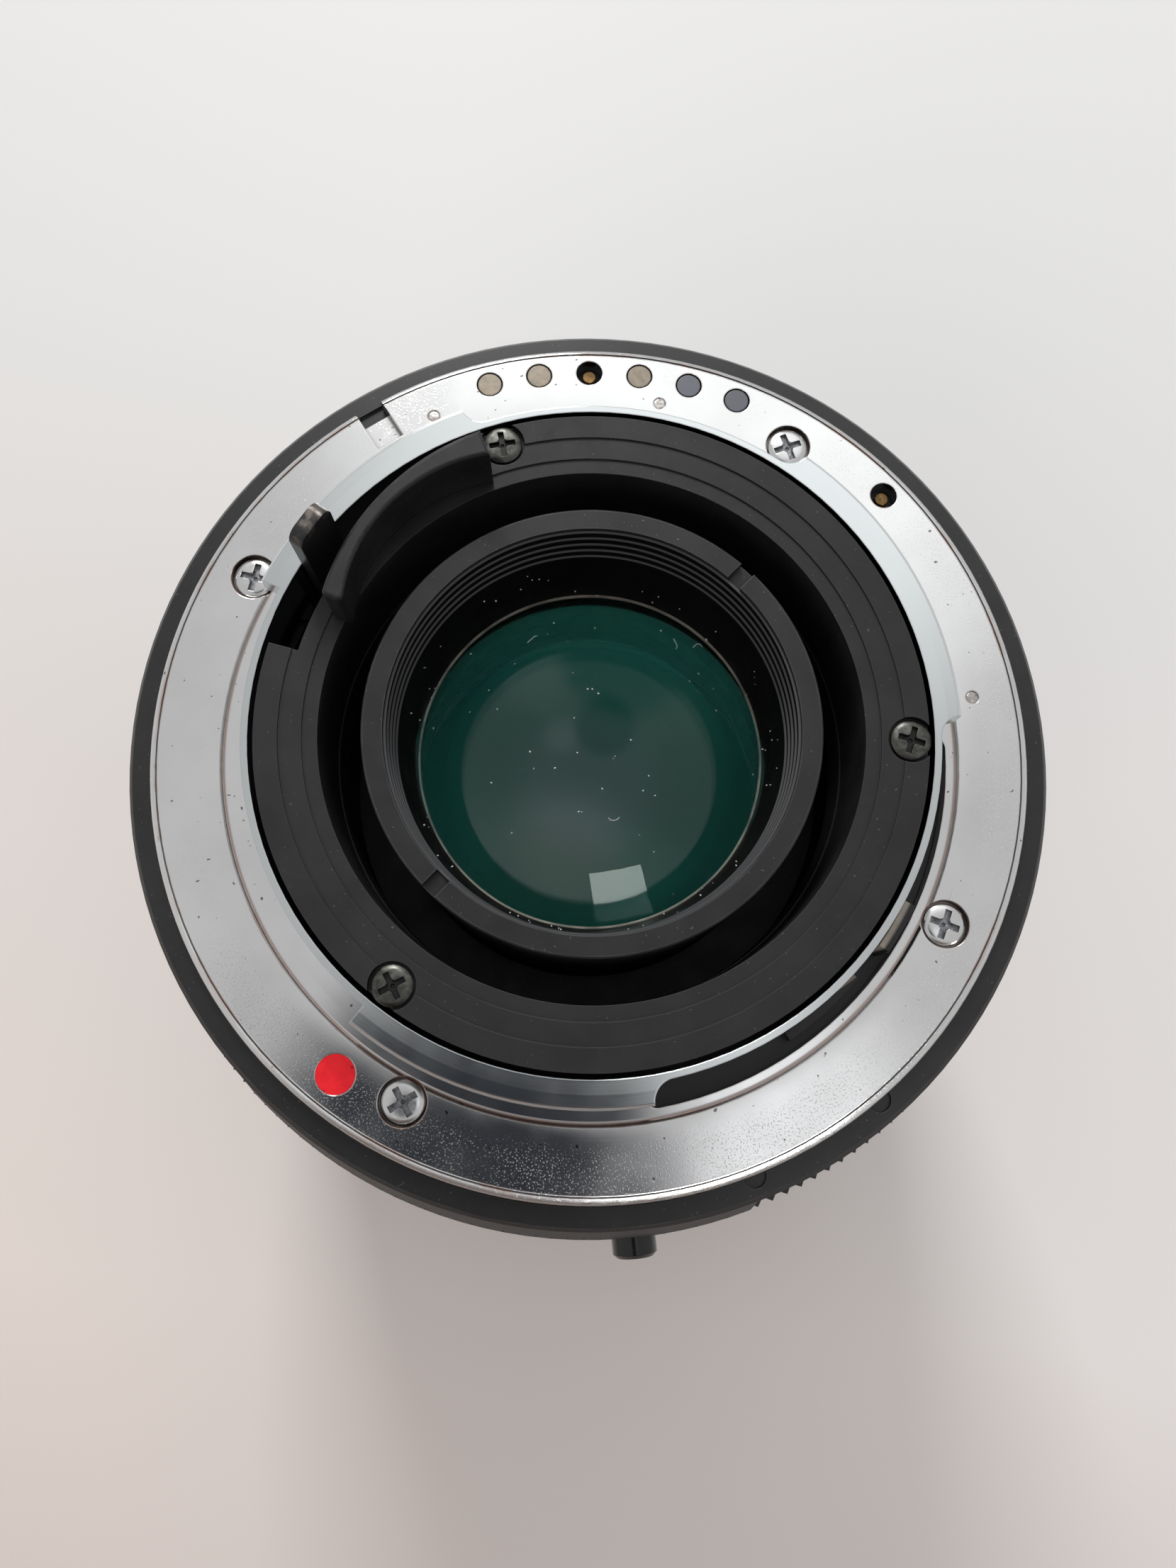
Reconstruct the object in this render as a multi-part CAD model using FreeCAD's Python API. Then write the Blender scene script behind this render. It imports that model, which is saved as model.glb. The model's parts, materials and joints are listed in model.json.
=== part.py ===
import FreeCAD, Part
import math
import os

# A manual zoom lens with a three-claw bayonet, standing on its front rim.
# +Z is the optical axis towards the camera. Depths are measured forward from the flange.

# Main sizes in millimetres
LENS_LENGTH = 72.0
FIT = 0.15
SLIDE_GAP = 0.2
SLOT_PLAY = 0.1
FULL_TURN = math.degrees(2 * math.pi)

# Bayonet mount
FLANGE_R = 29.95
FLANGE_THICK = 1.4
FLANGE_BEVEL = 0.4
FLANGE_GROOVE_R = 29.35
FLANGE_GROOVE = 0.12
RECESS_R = 25.15
RECESS_DEPTH = 0.2
RECESS_SLOPE = 0.15
NECK_R = 22.0
NECK_WALL = 0.45
RIM_HEIGHT = 5.15
CLAW_R = 23.85
CLAW_THICK = 1.8
CLAW_CHAMFER = 0.2
CLAW_SPANS = ((6.5, 57.2), (116.3, 160.2), (236.0, 283.6))
CLAW_CURVED_STARTS = (6.5, 116.3)
CLAW_CURVED_ENDS = (57.2, 283.6)
COUPLING_SLOT = (-75.0, 4.3)
COUPLING_SLOT_R = 24.3
LOCK_NOTCH_ANGLE = 127.2
LOCK_NOTCH_WIDTH = 2.1
LOCK_NOTCH_R = 26.6
LOCK_NOTCH_DEPTH = 0.9
LOCK_NOTCH_THROUGH_R = 28.9

# Fasteners and pins in the flange
MOUNT_SCREW_R = 26.45
MOUNT_SCREW_ANGLES = (62.0, 157.4, 247.3, 337.3)
MOUNT_SCREW_HEAD_R = 1.4
MOUNT_SCREW_HEAD = 0.5
MOUNT_SCREW_SINK = 0.1
MOUNT_SCREW_SHANK_R = 0.8
MOUNT_SCREW_LENGTH = 3.6
SCREW_SEAT_GAP = 0.2
PIN_PLACES = ((26.58, 12.2), (26.06, 83.5), (26.92, 119.4))
PIN_R = 0.45
DOT_R = 1.3
DOT_PLACE = (27.3, 237.5)
DOT_DEPTH = 0.3

# Electrical contacts
CONTACT_INSET = 2.0
CONTACT_RING_R = FLANGE_R - CONTACT_INSET
CONTACT_MIDDLE = 91.0
CONTACT_PITCH = 7.5
CONTACT_COUNT = 6
CONTACT_HOLE_R = 0.95
CONTACT_PAD_R = 0.85
CONTACT_SINK = 0.04
A_PIN_INDEX = 3
DATA_PIN_ANGLE = 46.0
SPRING_PIN_R = 0.45
SPRING_PIN_SINK = 0.6
A_PIN_TRAVEL = 0.5
PIN_COLLAR_R = 0.75
PIN_COLLAR = 0.3
PIN_TAIL = 1.0
BLOCK_LEAD = 1.2
BLOCK_R_IN = CONTACT_RING_R - BLOCK_LEAD
BLOCK_SPAN = (67.5, 115.0)
PIN_HOLDER_HALF_SPAN = 4.0

# Rear housing
HOUSING_STEP = 0.95
HOUSING_R = FLANGE_R - HOUSING_STEP
HOUSING_WALL = 1.8
SHELF_DEPTH = 2.6
SHELF_THICK = 1.2
FOOT_DEPTH = 13.05
FOOT_THICK = 1.45
INNER_TUBE_R = 17.5
INNER_TUBE_WALL = 0.95
INNER_TUBE_END = 6.4
POST_RING_R = 20.5
POST_ANGLES = (2.3, 111.7, 237.7)
POST_R = 1.3
ARM_WINDOW = (-107.5, -28.0)

# Rear light baffle with its guard fin
BAFFLE_R = 21.65
BAFFLE_PLATE = 0.8
BAFFLE_SKIRT = 0.7
BAFFLE_STEPS = (18.6, 20.1)
BAFFLE_STEP = 0.12
BAFFLE_SLOT = (117.0, 169.8)
BAFFLE_SLOT_R = 19.7
FIN_HEIGHT = 4.0
FIN_SPAN = (116.0, 161.0)
FIN_OUTER_R = 15.9
FIN_OUTER_CENTRE = (-1.73, 3.57)
FIN_INNER_R = 10.8
FIN_INNER_CENTRE = (-5.25, 5.76)
FIN_END_ROUND = 0.35
FIN_END_REACH = 1.0
FIN_TOP_ROUND = 0.25
BAFFLE_SCREW_HEAD_R = 1.3
BAFFLE_SCREW_HEAD = 0.45
BAFFLE_SCREW_SHANK_R = 0.7
BAFFLE_SCREW_LENGTH = 3.0

# Aperture coupling ring
COUPLING_R_IN = 22.75
COUPLING_R_OUT = 24.6
COUPLING_GAP = 0.15
TAB_R_IN = 23.0
TAB_R_OUT = 23.75
TAB_SPAN = (-32.0, -23.5)
TAB_HEIGHT = 2.2
LAND_R_OUT = 23.6
LAND_SPAN = (-52.0, -37.0)
LAND_DEPTH = 0.5
ARM_ANGLE = -67.7
ARM_HALF_SPAN = 4.5
ARM_REACH = 0.9
ARM_R_OUT = HOUSING_R + ARM_REACH

# Aperture ring
APERTURE_RING_WALL = 2.69
APERTURE_RING_R = HOUSING_R + APERTURE_RING_WALL
APERTURE_RING_TOP = 1.27
APERTURE_RING_END = 12.9
APERTURE_LIP = 1.59
APERTURE_LIP_R = APERTURE_RING_R - APERTURE_LIP
APERTURE_EDGE = 0.25
GRIP_START = 7.4
GRIP_RISE = 0.81
GRIP_RIB_RISE = 0.5
GRIP_ROOT_R = APERTURE_RING_R + GRIP_RISE
GRIP_RIB_R = GRIP_ROOT_R + GRIP_RIB_RISE
GRIP_RIB_COUNT = 186
SCALE_LAND_SPAN = (-131.0, -65.6)
SCALE_LAND_RISE = 0.2
SCALE_LAND_R = GRIP_RIB_R + SCALE_LAND_RISE
SCALE_LAND_SHOULDER = 8.7
RING_NOTCH_ANGLES = (-65.0, -46.7)
RING_NOTCH_R = 0.8

# Lock button for the automatic aperture position
BUTTON_ANGLE = -80.0
BUTTON_DEPTH = 10.6
BUTTON_R = 1.57
BUTTON_PROUD = 1.5
BUTTON_TIP_R = SCALE_LAND_R + BUTTON_PROUD
BUTTON_CHAMFER = 0.25
BUTTON_HEAD_R = 1.95
BUTTON_HEAD = 0.5
BUTTON_SHOULDER = 2.0
BUTTON_SHOULDER_R = SCALE_LAND_R - BUTTON_SHOULDER
BUTTON_TRAVEL = 0.9
BUTTON_FIT = 0.06

# Stop-down lever and its ring
LEVER_ANGLE = 151.0
LEVER_WIDTH = 3.0
LEVER_R_IN = 20.8
LEVER_THICK = 1.0
LEVER_TOP = 10.0
LEVER_CORNER = 0.9
LEVER_TRAVEL = 13.0
LEVER_RING_R = 21.9
LEVER_RING_DEPTH = 4.4
LEVER_RING_THICK = 0.8
LEVER_FOOT = 0.45
LEVER_FOOT_HALF_SPAN = 7.0
TONGUE_ANGLE = -30.0
TONGUE_WIDTH = 3.0
TONGUE_R_IN = 20.9
TONGUE_THICK = 0.8
TONGUE_END = 33.6
CLIP_R = 20.0
CLIP_DEPTH = 5.35
CLIP_THICK = 0.4
CLIP_GROOVE_R = 18.05
CLIP_GAP = 60.0

# Guide barrel, cam tube and zoom ring
SLEEVE_R_IN = 27.4
SLEEVE_WALL = 1.4
CAM_WALL = 1.2
GUIDE_WALL = 1.4
SLEEVE_R_OUT = SLEEVE_R_IN + SLEEVE_WALL
CAM_R_IN = SLEEVE_R_OUT + SLIDE_GAP
CAM_R_OUT = CAM_R_IN + CAM_WALL
GUIDE_R_IN = CAM_R_OUT + SLIDE_GAP
GUIDE_R_OUT = GUIDE_R_IN + GUIDE_WALL
FRONT_GROUP_LENGTH = 21.85
WEB_START = LENS_LENGTH - FRONT_GROUP_LENGTH
RETAINER_THICK = 1.35
RETAINER_END = WEB_START - SLIDE_GAP
GUIDE_END = RETAINER_END - RETAINER_THICK
CAM_START = 15.5
CAM_END = GUIDE_END - SLIDE_GAP
ZOOM_TURN = 72.0
FRONT_ZOOM_TRAVEL = 12.0
REAR_ZOOM_TRAVEL = 8.0
FOLLOWER_R = 1.2
FOLLOWER_TOP_R = GUIDE_R_OUT - SLIDE_GAP
REAR_FOLLOWER_DEPTH = 19.0
REAR_FOLLOWER_ANGLES = (30.0, 150.0, 270.0)
FRONT_FOLLOWER_SETBACK = 17.4
FRONT_FOLLOWER_DEPTH = CAM_END - FRONT_FOLLOWER_SETBACK
FRONT_FOLLOWER_ANGLES = (90.0, 210.0, 330.0)
KEY_ANGLE = 200.0
KEY_SETBACK = 2.0
KEY_DEPTH = CAM_END - KEY_SETBACK
KEY_R = 1.0
ZOOM_RING_WALL = 1.5
ZOOM_RING_R = GUIDE_R_OUT + SLIDE_GAP + ZOOM_RING_WALL
ZOOM_RING_START = 22.0
ZOOM_GRIP_START = 29.0
ZOOM_GRIP_SETBACK = 3.1
RUBBER_THICK = 1.3
ZOOM_GRIP_SPAN = (ZOOM_GRIP_START, GUIDE_END - ZOOM_GRIP_SETBACK)
ZOOM_GRIP_R = ZOOM_RING_R + RUBBER_THICK
ZOOM_GRIP_BLOCK_COUNT = 36
GRIP_GROOVE_DEPTH = 0.6
GRIP_GROOVE_SHARE = 0.32
INDEX_RING_STEP = 0.1
INDEX_RING_R = ZOOM_RING_R - INDEX_RING_STEP
INDEX_RING_START = 13.2
INDEX_MARK_ANGLE = -100.0
INDEX_MARK_DEPTH = 19.6
INDEX_MARK_R = 0.8
INDEX_MARK_SINK = 0.4

# Rear lens group
CELL_R = 14.77
CELL_WALL = 0.57
CELL_END = 17.75
CELL_RING_TOP = 5.5
CELL_RING_LIP = 0.9
CELL_RING_R_IN = 13.4
CELL_RING_THREAD = 1.8
SPANNER_SLOT_WIDTH = 1.1
SPANNER_SLOT_DEPTH = 0.6
SPANNER_SLOT_ANGLE = 50.7
TRAP_RIDGE_COUNT = 4
TRAP_R_START = 13.35
TRAP_R_END = 12.2
TRAP_GROOVE = 0.3
REAR_GLASS_R = 13.6
REAR_GLASS_DEPTH = 4.1
REAR_GLASS_EDGE = 2.4
REAR_GLASS_CURVE = 40.0
REAR_SPACER_END = 9.0
INNER_GLASS_EDGE = 3.0
INNER_GLASS_CURVE = 34.0
INNER_GLASS_HOLLOW = 60.0
CARRIER_HUB_R = 18.0
CARRIER_START = 14.0
CARRIER_END = 20.25
CARRIER_ARM_WIDTH = 8.0
CARRIER_ARM_THICK = 2.5
FOLLOWER_ROOT = 2.4
FOLLOWER_ROOT_R = SLEEVE_R_IN - FOLLOWER_ROOT

# Iris diaphragm
BLADE_COUNT = 6
IRIS_R = 22.0
IRIS_WALL = 0.9
IRIS_OPEN_R = 12.0
IRIS_BASE_THICK = 0.7
BLADE_R_IN = 12.2
BLADE_R_OUT = 16.4
BLADE_REACH = 118.0
BLADE_PIVOT_R = 17.4
BLADE_SWING = 30.7
BLADE_THICK = 0.12
BLADE_STEP = 0.22
BLADE_GAP = 0.1
BLADE_LUG_R = 0.9
BLADE_PIN_R = 0.4
CAM_PIN_LEAD = -14.0
CAM_SLOT_STEP_COUNT = 6
CAM_RING_R = 20.4
CAM_RING_THICK = 0.8
CAM_BORE_R = 12.6
IRIS_COVER_THICK = 0.6
IRIS_SPIGOT_WALL = 0.45
FORK_PLAY = 0.05
FORK_PRONG = 1.2
FORK_R_OUT = 22.6
FORK_WINDOW = (-48.0, 1.0)

# Front barrel, focus ring and front lens group
FOCUS_SHELL_STEP = 0.3
FOCUS_RING_WALL = 1.2
FOCUS_GROOVE_R = GUIDE_R_OUT + FOCUS_SHELL_STEP
FOCUS_RING_R = FOCUS_GROOVE_R + FOCUS_RING_WALL
SLEEVE_LEAD = 2.0
SLEEVE_START = FRONT_FOLLOWER_DEPTH - SLEEVE_LEAD
WEB_THICK = 1.2
WEB_STEP = 0.1
WEB_R = FOCUS_RING_R - WEB_STEP
SHELL_WALL = 1.75
SHELL_SETBACK = 5.8
SHELL_END = LENS_LENGTH - SHELL_SETBACK
FRONT_CELL_R = SLEEVE_R_OUT + SLIDE_GAP
FRONT_CELL_WALL = 1.6
FRONT_CELL_SETBACK = 2.45
FRONT_CELL_START = WEB_START + FRONT_CELL_SETBACK
FOCUS_TURN = 120.0
FOCUS_TRAVEL = 6.0
FOCUS_PIN_SETBACK = 2.4
FOCUS_PIN_DEPTH = FRONT_CELL_START + FOCUS_PIN_SETBACK
FOCUS_PIN_ANGLES = (30.0, 150.0, 270.0)
FOCUS_PIN_TOP_R = FOCUS_GROOVE_R - SLIDE_GAP
FOCUS_GRIP_LEAD = 6.35
FOCUS_GRIP_SETBACK = 1.6
FOCUS_GRIP_SPAN = (WEB_START + FOCUS_GRIP_LEAD, SHELL_END - FOCUS_GRIP_SETBACK)
FOCUS_GRIP_R = FOCUS_RING_R + RUBBER_THICK
FOCUS_GRIP_BLOCK_COUNT = 36
FRONT_RETAINER_THICK = 0.7
HEAD_LENGTH = 4.85
HEAD_START = LENS_LENGTH - HEAD_LENGTH
HEAD_R = 32.6
HEAD_CHAMFER = 0.4
FILTER_THREAD_R = 31.0
FILTER_THREAD_LENGTH = 4.0
FRONT_GLASS_R = 25.4
FRONT_GLASS_SETBACK = 10.8
FRONT_GLASS_DEPTH = LENS_LENGTH - FRONT_GLASS_SETBACK
FRONT_GLASS_EDGE = 2.4
FRONT_GLASS_CURVE = 78.0
FRONT_GLASS_HOLLOW = 160.0
SECOND_GLASS_R = 23.0
FRONT_GLASS_SPACING = 6.6
SECOND_GLASS_DEPTH = FRONT_GLASS_DEPTH - FRONT_GLASS_SPACING
SECOND_GLASS_EDGE = 5.2
SECOND_GLASS_CURVE = 200.0
SECOND_GLASS_HOLLOW = 110.0
TRIM_RING_LIP = 1.2

AXIS = FreeCAD.Vector(0, 0, 1)
ORIGIN = FreeCAD.Vector(0, 0, 0)


def level(depth):
    return LENS_LENGTH - depth


def polar(radius, angle, depth):
    turn = math.radians(angle)
    return FreeCAD.Vector(radius * math.cos(turn), radius * math.sin(turn), level(depth))


def outward(angle):
    turn = math.radians(angle)
    return FreeCAD.Vector(math.cos(turn), math.sin(turn), 0)


def turned(profile, start=0.0, end=FULL_TURN):
    """Turn a closed outline of (radius, depth) points about the axis."""
    points = [FreeCAD.Vector(r, 0, level(d)) for r, d in profile]
    face = Part.Face(Part.makePolygon(points + points[:1]))
    solid = face.revolve(ORIGIN, AXIS, end - start)
    solid.rotate(ORIGIN, AXIS, start)
    return solid


def ring(r_in, r_out, near, far, start=0.0, end=FULL_TURN):
    """A plain ring, or a part of one, between two depths."""
    return turned([(r_in, near), (r_out, near), (r_out, far), (r_in, far)], start, end)


def disc(radius, near, far, place=(0.0, 0.0)):
    """A round plug along the axis, at a place given as (radius, angle)."""
    return Part.makeCylinder(radius, far - near, polar(place[0], place[1], far), AXIS)


def spoke(radius, r_in, r_out, angle, depth):
    """A round pin that points away from the axis."""
    return Part.makeCylinder(radius, r_out - r_in, polar(r_in, angle, depth), outward(angle))


def bar(r_in, r_out, width, near, far, angle):
    """A straight bar along a radius, seen from above as a rectangle."""
    block = Part.makeBox(r_out - r_in, width, far - near, FreeCAD.Vector(r_in, -width / 2, level(far)))
    block.rotate(ORIGIN, AXIS, angle)
    return block


def screw(place, near, head_r, head, shank_r, length):
    """A screw that points forward."""
    body = disc(head_r, near, near + head, place)
    return body.fuse(disc(shank_r, near + head, near + head + length, place))


def helix_edge(radius, depth, sweep, travel):
    """A helix that starts at angle zero and winds forward as it turns back by sweep."""
    helix = Part.makeHelix(travel * FULL_TURN / sweep, travel, radius)
    helix.rotate(ORIGIN, AXIS, -sweep)
    helix.translate(FreeCAD.Vector(0, 0, level(depth + travel)))
    return helix.Edges[0]


def helical_slot(r_in, r_out, half_width, angle, depth, sweep, travel):
    """A slot that leads a pin forward by travel while its ring turns by sweep."""
    slope = math.atan2(travel, (r_in + r_out) / 2 * math.radians(sweep))
    rise = half_width / math.cos(slope)
    corners = [(r_in, rise), (r_out, rise), (r_out, -rise), (r_in, -rise)]
    edges = [helix_edge(radius, depth + offset, sweep, travel) for radius, offset in corners]
    faces = [Part.makeRuledSurface(edges[i - 1], edges[i]) for i in range(4)]
    for end in (0, 1):
        points = [edge.Vertexes[end].Point for edge in edges]
        faces.append(Part.Face(Part.makePolygon(points + points[:1])))
    shell = Part.makeShell(faces)
    shell.sewShape()
    slot = Part.Solid(shell)
    if slot.Volume < 0:
        slot.reverse()
    slot.rotate(ORIGIN, AXIS, angle)
    ends = [spoke(half_width, r_in, r_out, angle, depth),
            spoke(half_width, r_in, r_out, angle - sweep, depth + travel)]
    return [slot] + ends


def straight_slot(r_in, r_out, half_width, angle, near, far):
    """A slot along the axis with round ends."""
    slot = bar(r_in, r_out, 2 * half_width, near, far, angle)
    for depth in (near, far):
        slot = slot.fuse(spoke(half_width, r_in, r_out, angle, depth))
    return slot


def smooth_edge(points):
    curve = Part.BSplineCurve()
    curve.interpolate(points)
    return curve.toShape()


def path_slot(points, half_width, near, far):
    """A slot with round ends that follows a row of points."""
    left = []
    right = []
    for i, point in enumerate(points):
        along = (points[min(i + 1, len(points) - 1)] - points[max(i - 1, 0)]).normalize()
        across = AXIS.cross(along) * half_width
        left.append(point + across)
        right.append(point - across)
    back_tip = points[0] - (points[1] - points[0]).normalize() * half_width
    front_tip = points[-1] + (points[-1] - points[-2]).normalize() * half_width
    edges = [smooth_edge(left), Part.Arc(left[-1], front_tip, right[-1]).toShape(),
             smooth_edge(right[::-1]), Part.Arc(right[0], back_tip, left[0]).toShape()]
    slot = Part.Face(Part.Wire(edges)).extrude(FreeCAD.Vector(0, 0, far - near))
    slot.translate(FreeCAD.Vector(0, 0, level(far)))
    return slot


def cut_each(shape, cutters):
    """Cut one piece at a time, which keeps long helical walls clean."""
    for cutter in cutters:
        shape = shape.cut(cutter)
    return shape.Solids[0]


def compound(pieces):
    return Part.makeCompound(pieces)


def only_solid(shape):
    """The single solid of a cut or fused shape, with its split faces joined."""
    return shape.removeSplitter().Solids[0]


# Bayonet mount
neck_outer_r = NECK_R + NECK_WALL
claw_depth = CLAW_R - neck_outer_r
contact_angles = [CONTACT_MIDDLE + CONTACT_PITCH * (i - (CONTACT_COUNT - 1) / 2) for i in range(CONTACT_COUNT)]
a_pin_angle = contact_angles[A_PIN_INDEX]
pad_angles = [angle for angle in contact_angles if angle != a_pin_angle]


def make_claw(start, end):
    low = -RIM_HEIGHT + CLAW_THICK
    profile = [(neck_outer_r - NECK_WALL / 2, -RIM_HEIGHT), (CLAW_R - CLAW_CHAMFER, -RIM_HEIGHT),
               (CLAW_R, -RIM_HEIGHT + CLAW_CHAMFER), (CLAW_R, low), (neck_outer_r - NECK_WALL / 2, low)]
    run_out = math.degrees(math.asin(claw_depth / CLAW_R))
    first = start - run_out if start in CLAW_CURVED_STARTS else start
    last = end + run_out if end in CLAW_CURVED_ENDS else end
    claw = turned(profile, first, last)
    for angle in (first, last):
        if angle not in (start, end):
            claw = claw.cut(disc(claw_depth, -RIM_HEIGHT - 1, low + 1, (CLAW_R, angle)))
    return claw


def make_bayonet_mount():
    groove = FLANGE_GROOVE
    profile = [(NECK_R, -RIM_HEIGHT), (neck_outer_r, -RIM_HEIGHT), (neck_outer_r, RECESS_DEPTH),
               (RECESS_R - RECESS_SLOPE, RECESS_DEPTH), (RECESS_R, 0), (FLANGE_GROOVE_R, 0),
               (FLANGE_GROOVE_R, groove), (FLANGE_GROOVE_R + groove, groove), (FLANGE_GROOVE_R + groove, 0),
               (FLANGE_R - FLANGE_BEVEL, 0), (FLANGE_R, FLANGE_BEVEL), (FLANGE_R, FLANGE_THICK),
               (NECK_R, FLANGE_THICK)]
    mount = turned(profile)
    mount = mount.fuse([make_claw(start, end) for start, end in CLAW_SPANS])
    cuts = []
    for angle in MOUNT_SCREW_ANGLES:
        place = (MOUNT_SCREW_R, angle)
        seat = MOUNT_SCREW_SINK + MOUNT_SCREW_HEAD
        cuts.append(disc(MOUNT_SCREW_HEAD_R + SCREW_SEAT_GAP, -1, seat, place))
        cuts.append(disc(MOUNT_SCREW_SHANK_R + 0.1, 0, FLANGE_THICK + 1, place))
    for angle in contact_angles + [DATA_PIN_ANGLE]:
        cuts.append(disc(CONTACT_HOLE_R, -1, FLANGE_THICK + 1, (CONTACT_RING_R, angle)))
    for place in PIN_PLACES:
        cuts.append(disc(PIN_R, -1, FLANGE_THICK + 1, place))
    cuts.append(disc(DOT_R, -1, DOT_DEPTH, DOT_PLACE))
    middle_r = (neck_outer_r + COUPLING_SLOT_R) / 2
    end_r = (COUPLING_SLOT_R - neck_outer_r) / 2
    cuts.append(ring(neck_outer_r, COUPLING_SLOT_R, -1, FLANGE_THICK + 1, *COUPLING_SLOT))
    for angle in COUPLING_SLOT:
        cuts.append(disc(end_r, -1, FLANGE_THICK + 1, (middle_r, angle)))
    cuts.append(bar(LOCK_NOTCH_R, FLANGE_R + 1, LOCK_NOTCH_WIDTH, -1, LOCK_NOTCH_DEPTH, LOCK_NOTCH_ANGLE))
    cuts.append(bar(LOCK_NOTCH_THROUGH_R, FLANGE_R + 1, LOCK_NOTCH_WIDTH, -1, FLANGE_THICK + 1,
                    LOCK_NOTCH_ANGLE))
    return only_solid(mount.cut(cuts))


def make_mount_screws():
    screws = []
    for angle in MOUNT_SCREW_ANGLES:
        screws.append(screw((MOUNT_SCREW_R, angle), MOUNT_SCREW_SINK, MOUNT_SCREW_HEAD_R,
                            MOUNT_SCREW_HEAD, MOUNT_SCREW_SHANK_R, MOUNT_SCREW_LENGTH))
    return compound(screws)


def make_locating_pins():
    return compound([disc(PIN_R, CONTACT_SINK, FLANGE_THICK, place) for place in PIN_PLACES])


def make_alignment_dot():
    return disc(DOT_R, 0.02, DOT_DEPTH, DOT_PLACE)


# Contacts
pin_bore_r = SPRING_PIN_R + 0.05
collar_bore_r = PIN_COLLAR_R + 0.05


def make_contact_block():
    block = ring(BLOCK_R_IN, HOUSING_R, FLANGE_THICK, SHELF_DEPTH, *BLOCK_SPAN)
    place = (CONTACT_RING_R, a_pin_angle)
    cuts = [disc(pin_bore_r, 0, SHELF_DEPTH + 1, place),
            disc(collar_bore_r, FLANGE_THICK + PIN_COLLAR, SHELF_DEPTH + 1, place)]
    return only_solid(block.cut(cuts))


def make_contact_pads():
    return compound([disc(CONTACT_PAD_R, CONTACT_SINK, FLANGE_THICK, (CONTACT_RING_R, angle))
                     for angle in pad_angles])


def collared_pin(angle, collar, end):
    """A contact pin with a collar that rests against its holder."""
    place = (CONTACT_RING_R, angle)
    pin = disc(SPRING_PIN_R, SPRING_PIN_SINK, end, place)
    return pin.fuse(disc(PIN_COLLAR_R, collar, collar + PIN_COLLAR, place))


def make_a_position_pin():
    collar = FLANGE_THICK + PIN_COLLAR
    return collared_pin(a_pin_angle, collar, collar + PIN_COLLAR + PIN_TAIL)


def make_data_pin():
    return collared_pin(DATA_PIN_ANGLE, SHELF_DEPTH - PIN_COLLAR, SHELF_DEPTH)


def make_data_pin_holder():
    span = (DATA_PIN_ANGLE - PIN_HOLDER_HALF_SPAN, DATA_PIN_ANGLE + PIN_HOLDER_HALF_SPAN)
    holder = ring(BLOCK_R_IN, HOUSING_R, FLANGE_THICK, SHELF_DEPTH, *span)
    place = (CONTACT_RING_R, DATA_PIN_ANGLE)
    holder = holder.cut(disc(SPRING_PIN_R, 0, SHELF_DEPTH + 1, place))
    return holder.cut(disc(PIN_COLLAR_R, SHELF_DEPTH - PIN_COLLAR, SHELF_DEPTH + 1, place))


# Rear housing
inner_tube_outer_r = INNER_TUBE_R + INNER_TUBE_WALL
shelf_end = SHELF_DEPTH + SHELF_THICK
foot_end = FOOT_DEPTH + FOOT_THICK
baffle_top = -RIM_HEIGHT - 0.05
baffle_under = baffle_top + BAFFLE_PLATE
lever_half_angle = math.degrees(LEVER_WIDTH / 2 / LEVER_R_IN)


def make_rear_housing():
    skirt_r = HOUSING_R - HOUSING_WALL
    profile = [(INNER_TUBE_R, SHELF_DEPTH), (COUPLING_R_OUT + FIT, SHELF_DEPTH),
               (COUPLING_R_OUT + FIT, FLANGE_THICK), (HOUSING_R, FLANGE_THICK), (HOUSING_R, FOOT_DEPTH),
               (GUIDE_R_OUT, FOOT_DEPTH), (GUIDE_R_OUT, foot_end), (skirt_r, foot_end), (skirt_r, shelf_end),
               (inner_tube_outer_r, shelf_end), (inner_tube_outer_r, CLIP_DEPTH), (CLIP_GROOVE_R, CLIP_DEPTH),
               (CLIP_GROOVE_R, CLIP_DEPTH + CLIP_THICK), (inner_tube_outer_r, CLIP_DEPTH + CLIP_THICK),
               (inner_tube_outer_r, INNER_TUBE_END), (INNER_TUBE_R, INNER_TUBE_END)]
    housing = turned(profile)
    posts = [disc(POST_R, baffle_under, SHELF_DEPTH, (POST_RING_R, angle)) for angle in POST_ANGLES]
    housing = housing.fuse(posts)
    cuts = [ring(COUPLING_R_OUT, HOUSING_R + 1, 0, SHELF_DEPTH, *ARM_WINDOW)]
    cuts.append(ring(BLOCK_R_IN, HOUSING_R + 1, 0, SHELF_DEPTH, *BLOCK_SPAN))
    holder_span = (DATA_PIN_ANGLE - PIN_HOLDER_HALF_SPAN, DATA_PIN_ANGLE + PIN_HOLDER_HALF_SPAN)
    cuts.append(ring(BLOCK_R_IN, HOUSING_R + 1, 0, SHELF_DEPTH, *holder_span))
    cuts.append(disc(collar_bore_r, 0, shelf_end + 1, (CONTACT_RING_R, a_pin_angle)))
    for angle in MOUNT_SCREW_ANGLES:
        shank_end = MOUNT_SCREW_SINK + MOUNT_SCREW_HEAD + MOUNT_SCREW_LENGTH
        cuts.append(disc(MOUNT_SCREW_SHANK_R, 0, shank_end, (MOUNT_SCREW_R, angle)))
    for angle in POST_ANGLES:
        screw_end = baffle_top + BAFFLE_SCREW_HEAD + BAFFLE_SCREW_LENGTH
        cuts.append(disc(BAFFLE_SCREW_SHANK_R, baffle_top, screw_end, (POST_RING_R, angle)))
    slot_start = LEVER_ANGLE - lever_half_angle - 1.5
    slot_end = LEVER_ANGLE + LEVER_TRAVEL + lever_half_angle + 1.5
    cuts.append(ring(LEVER_R_IN - 0.4, LEVER_R_IN + LEVER_THICK + 0.4, 0, shelf_end + 1, slot_start, slot_end))
    return only_solid(housing.cut(cuts))


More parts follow.
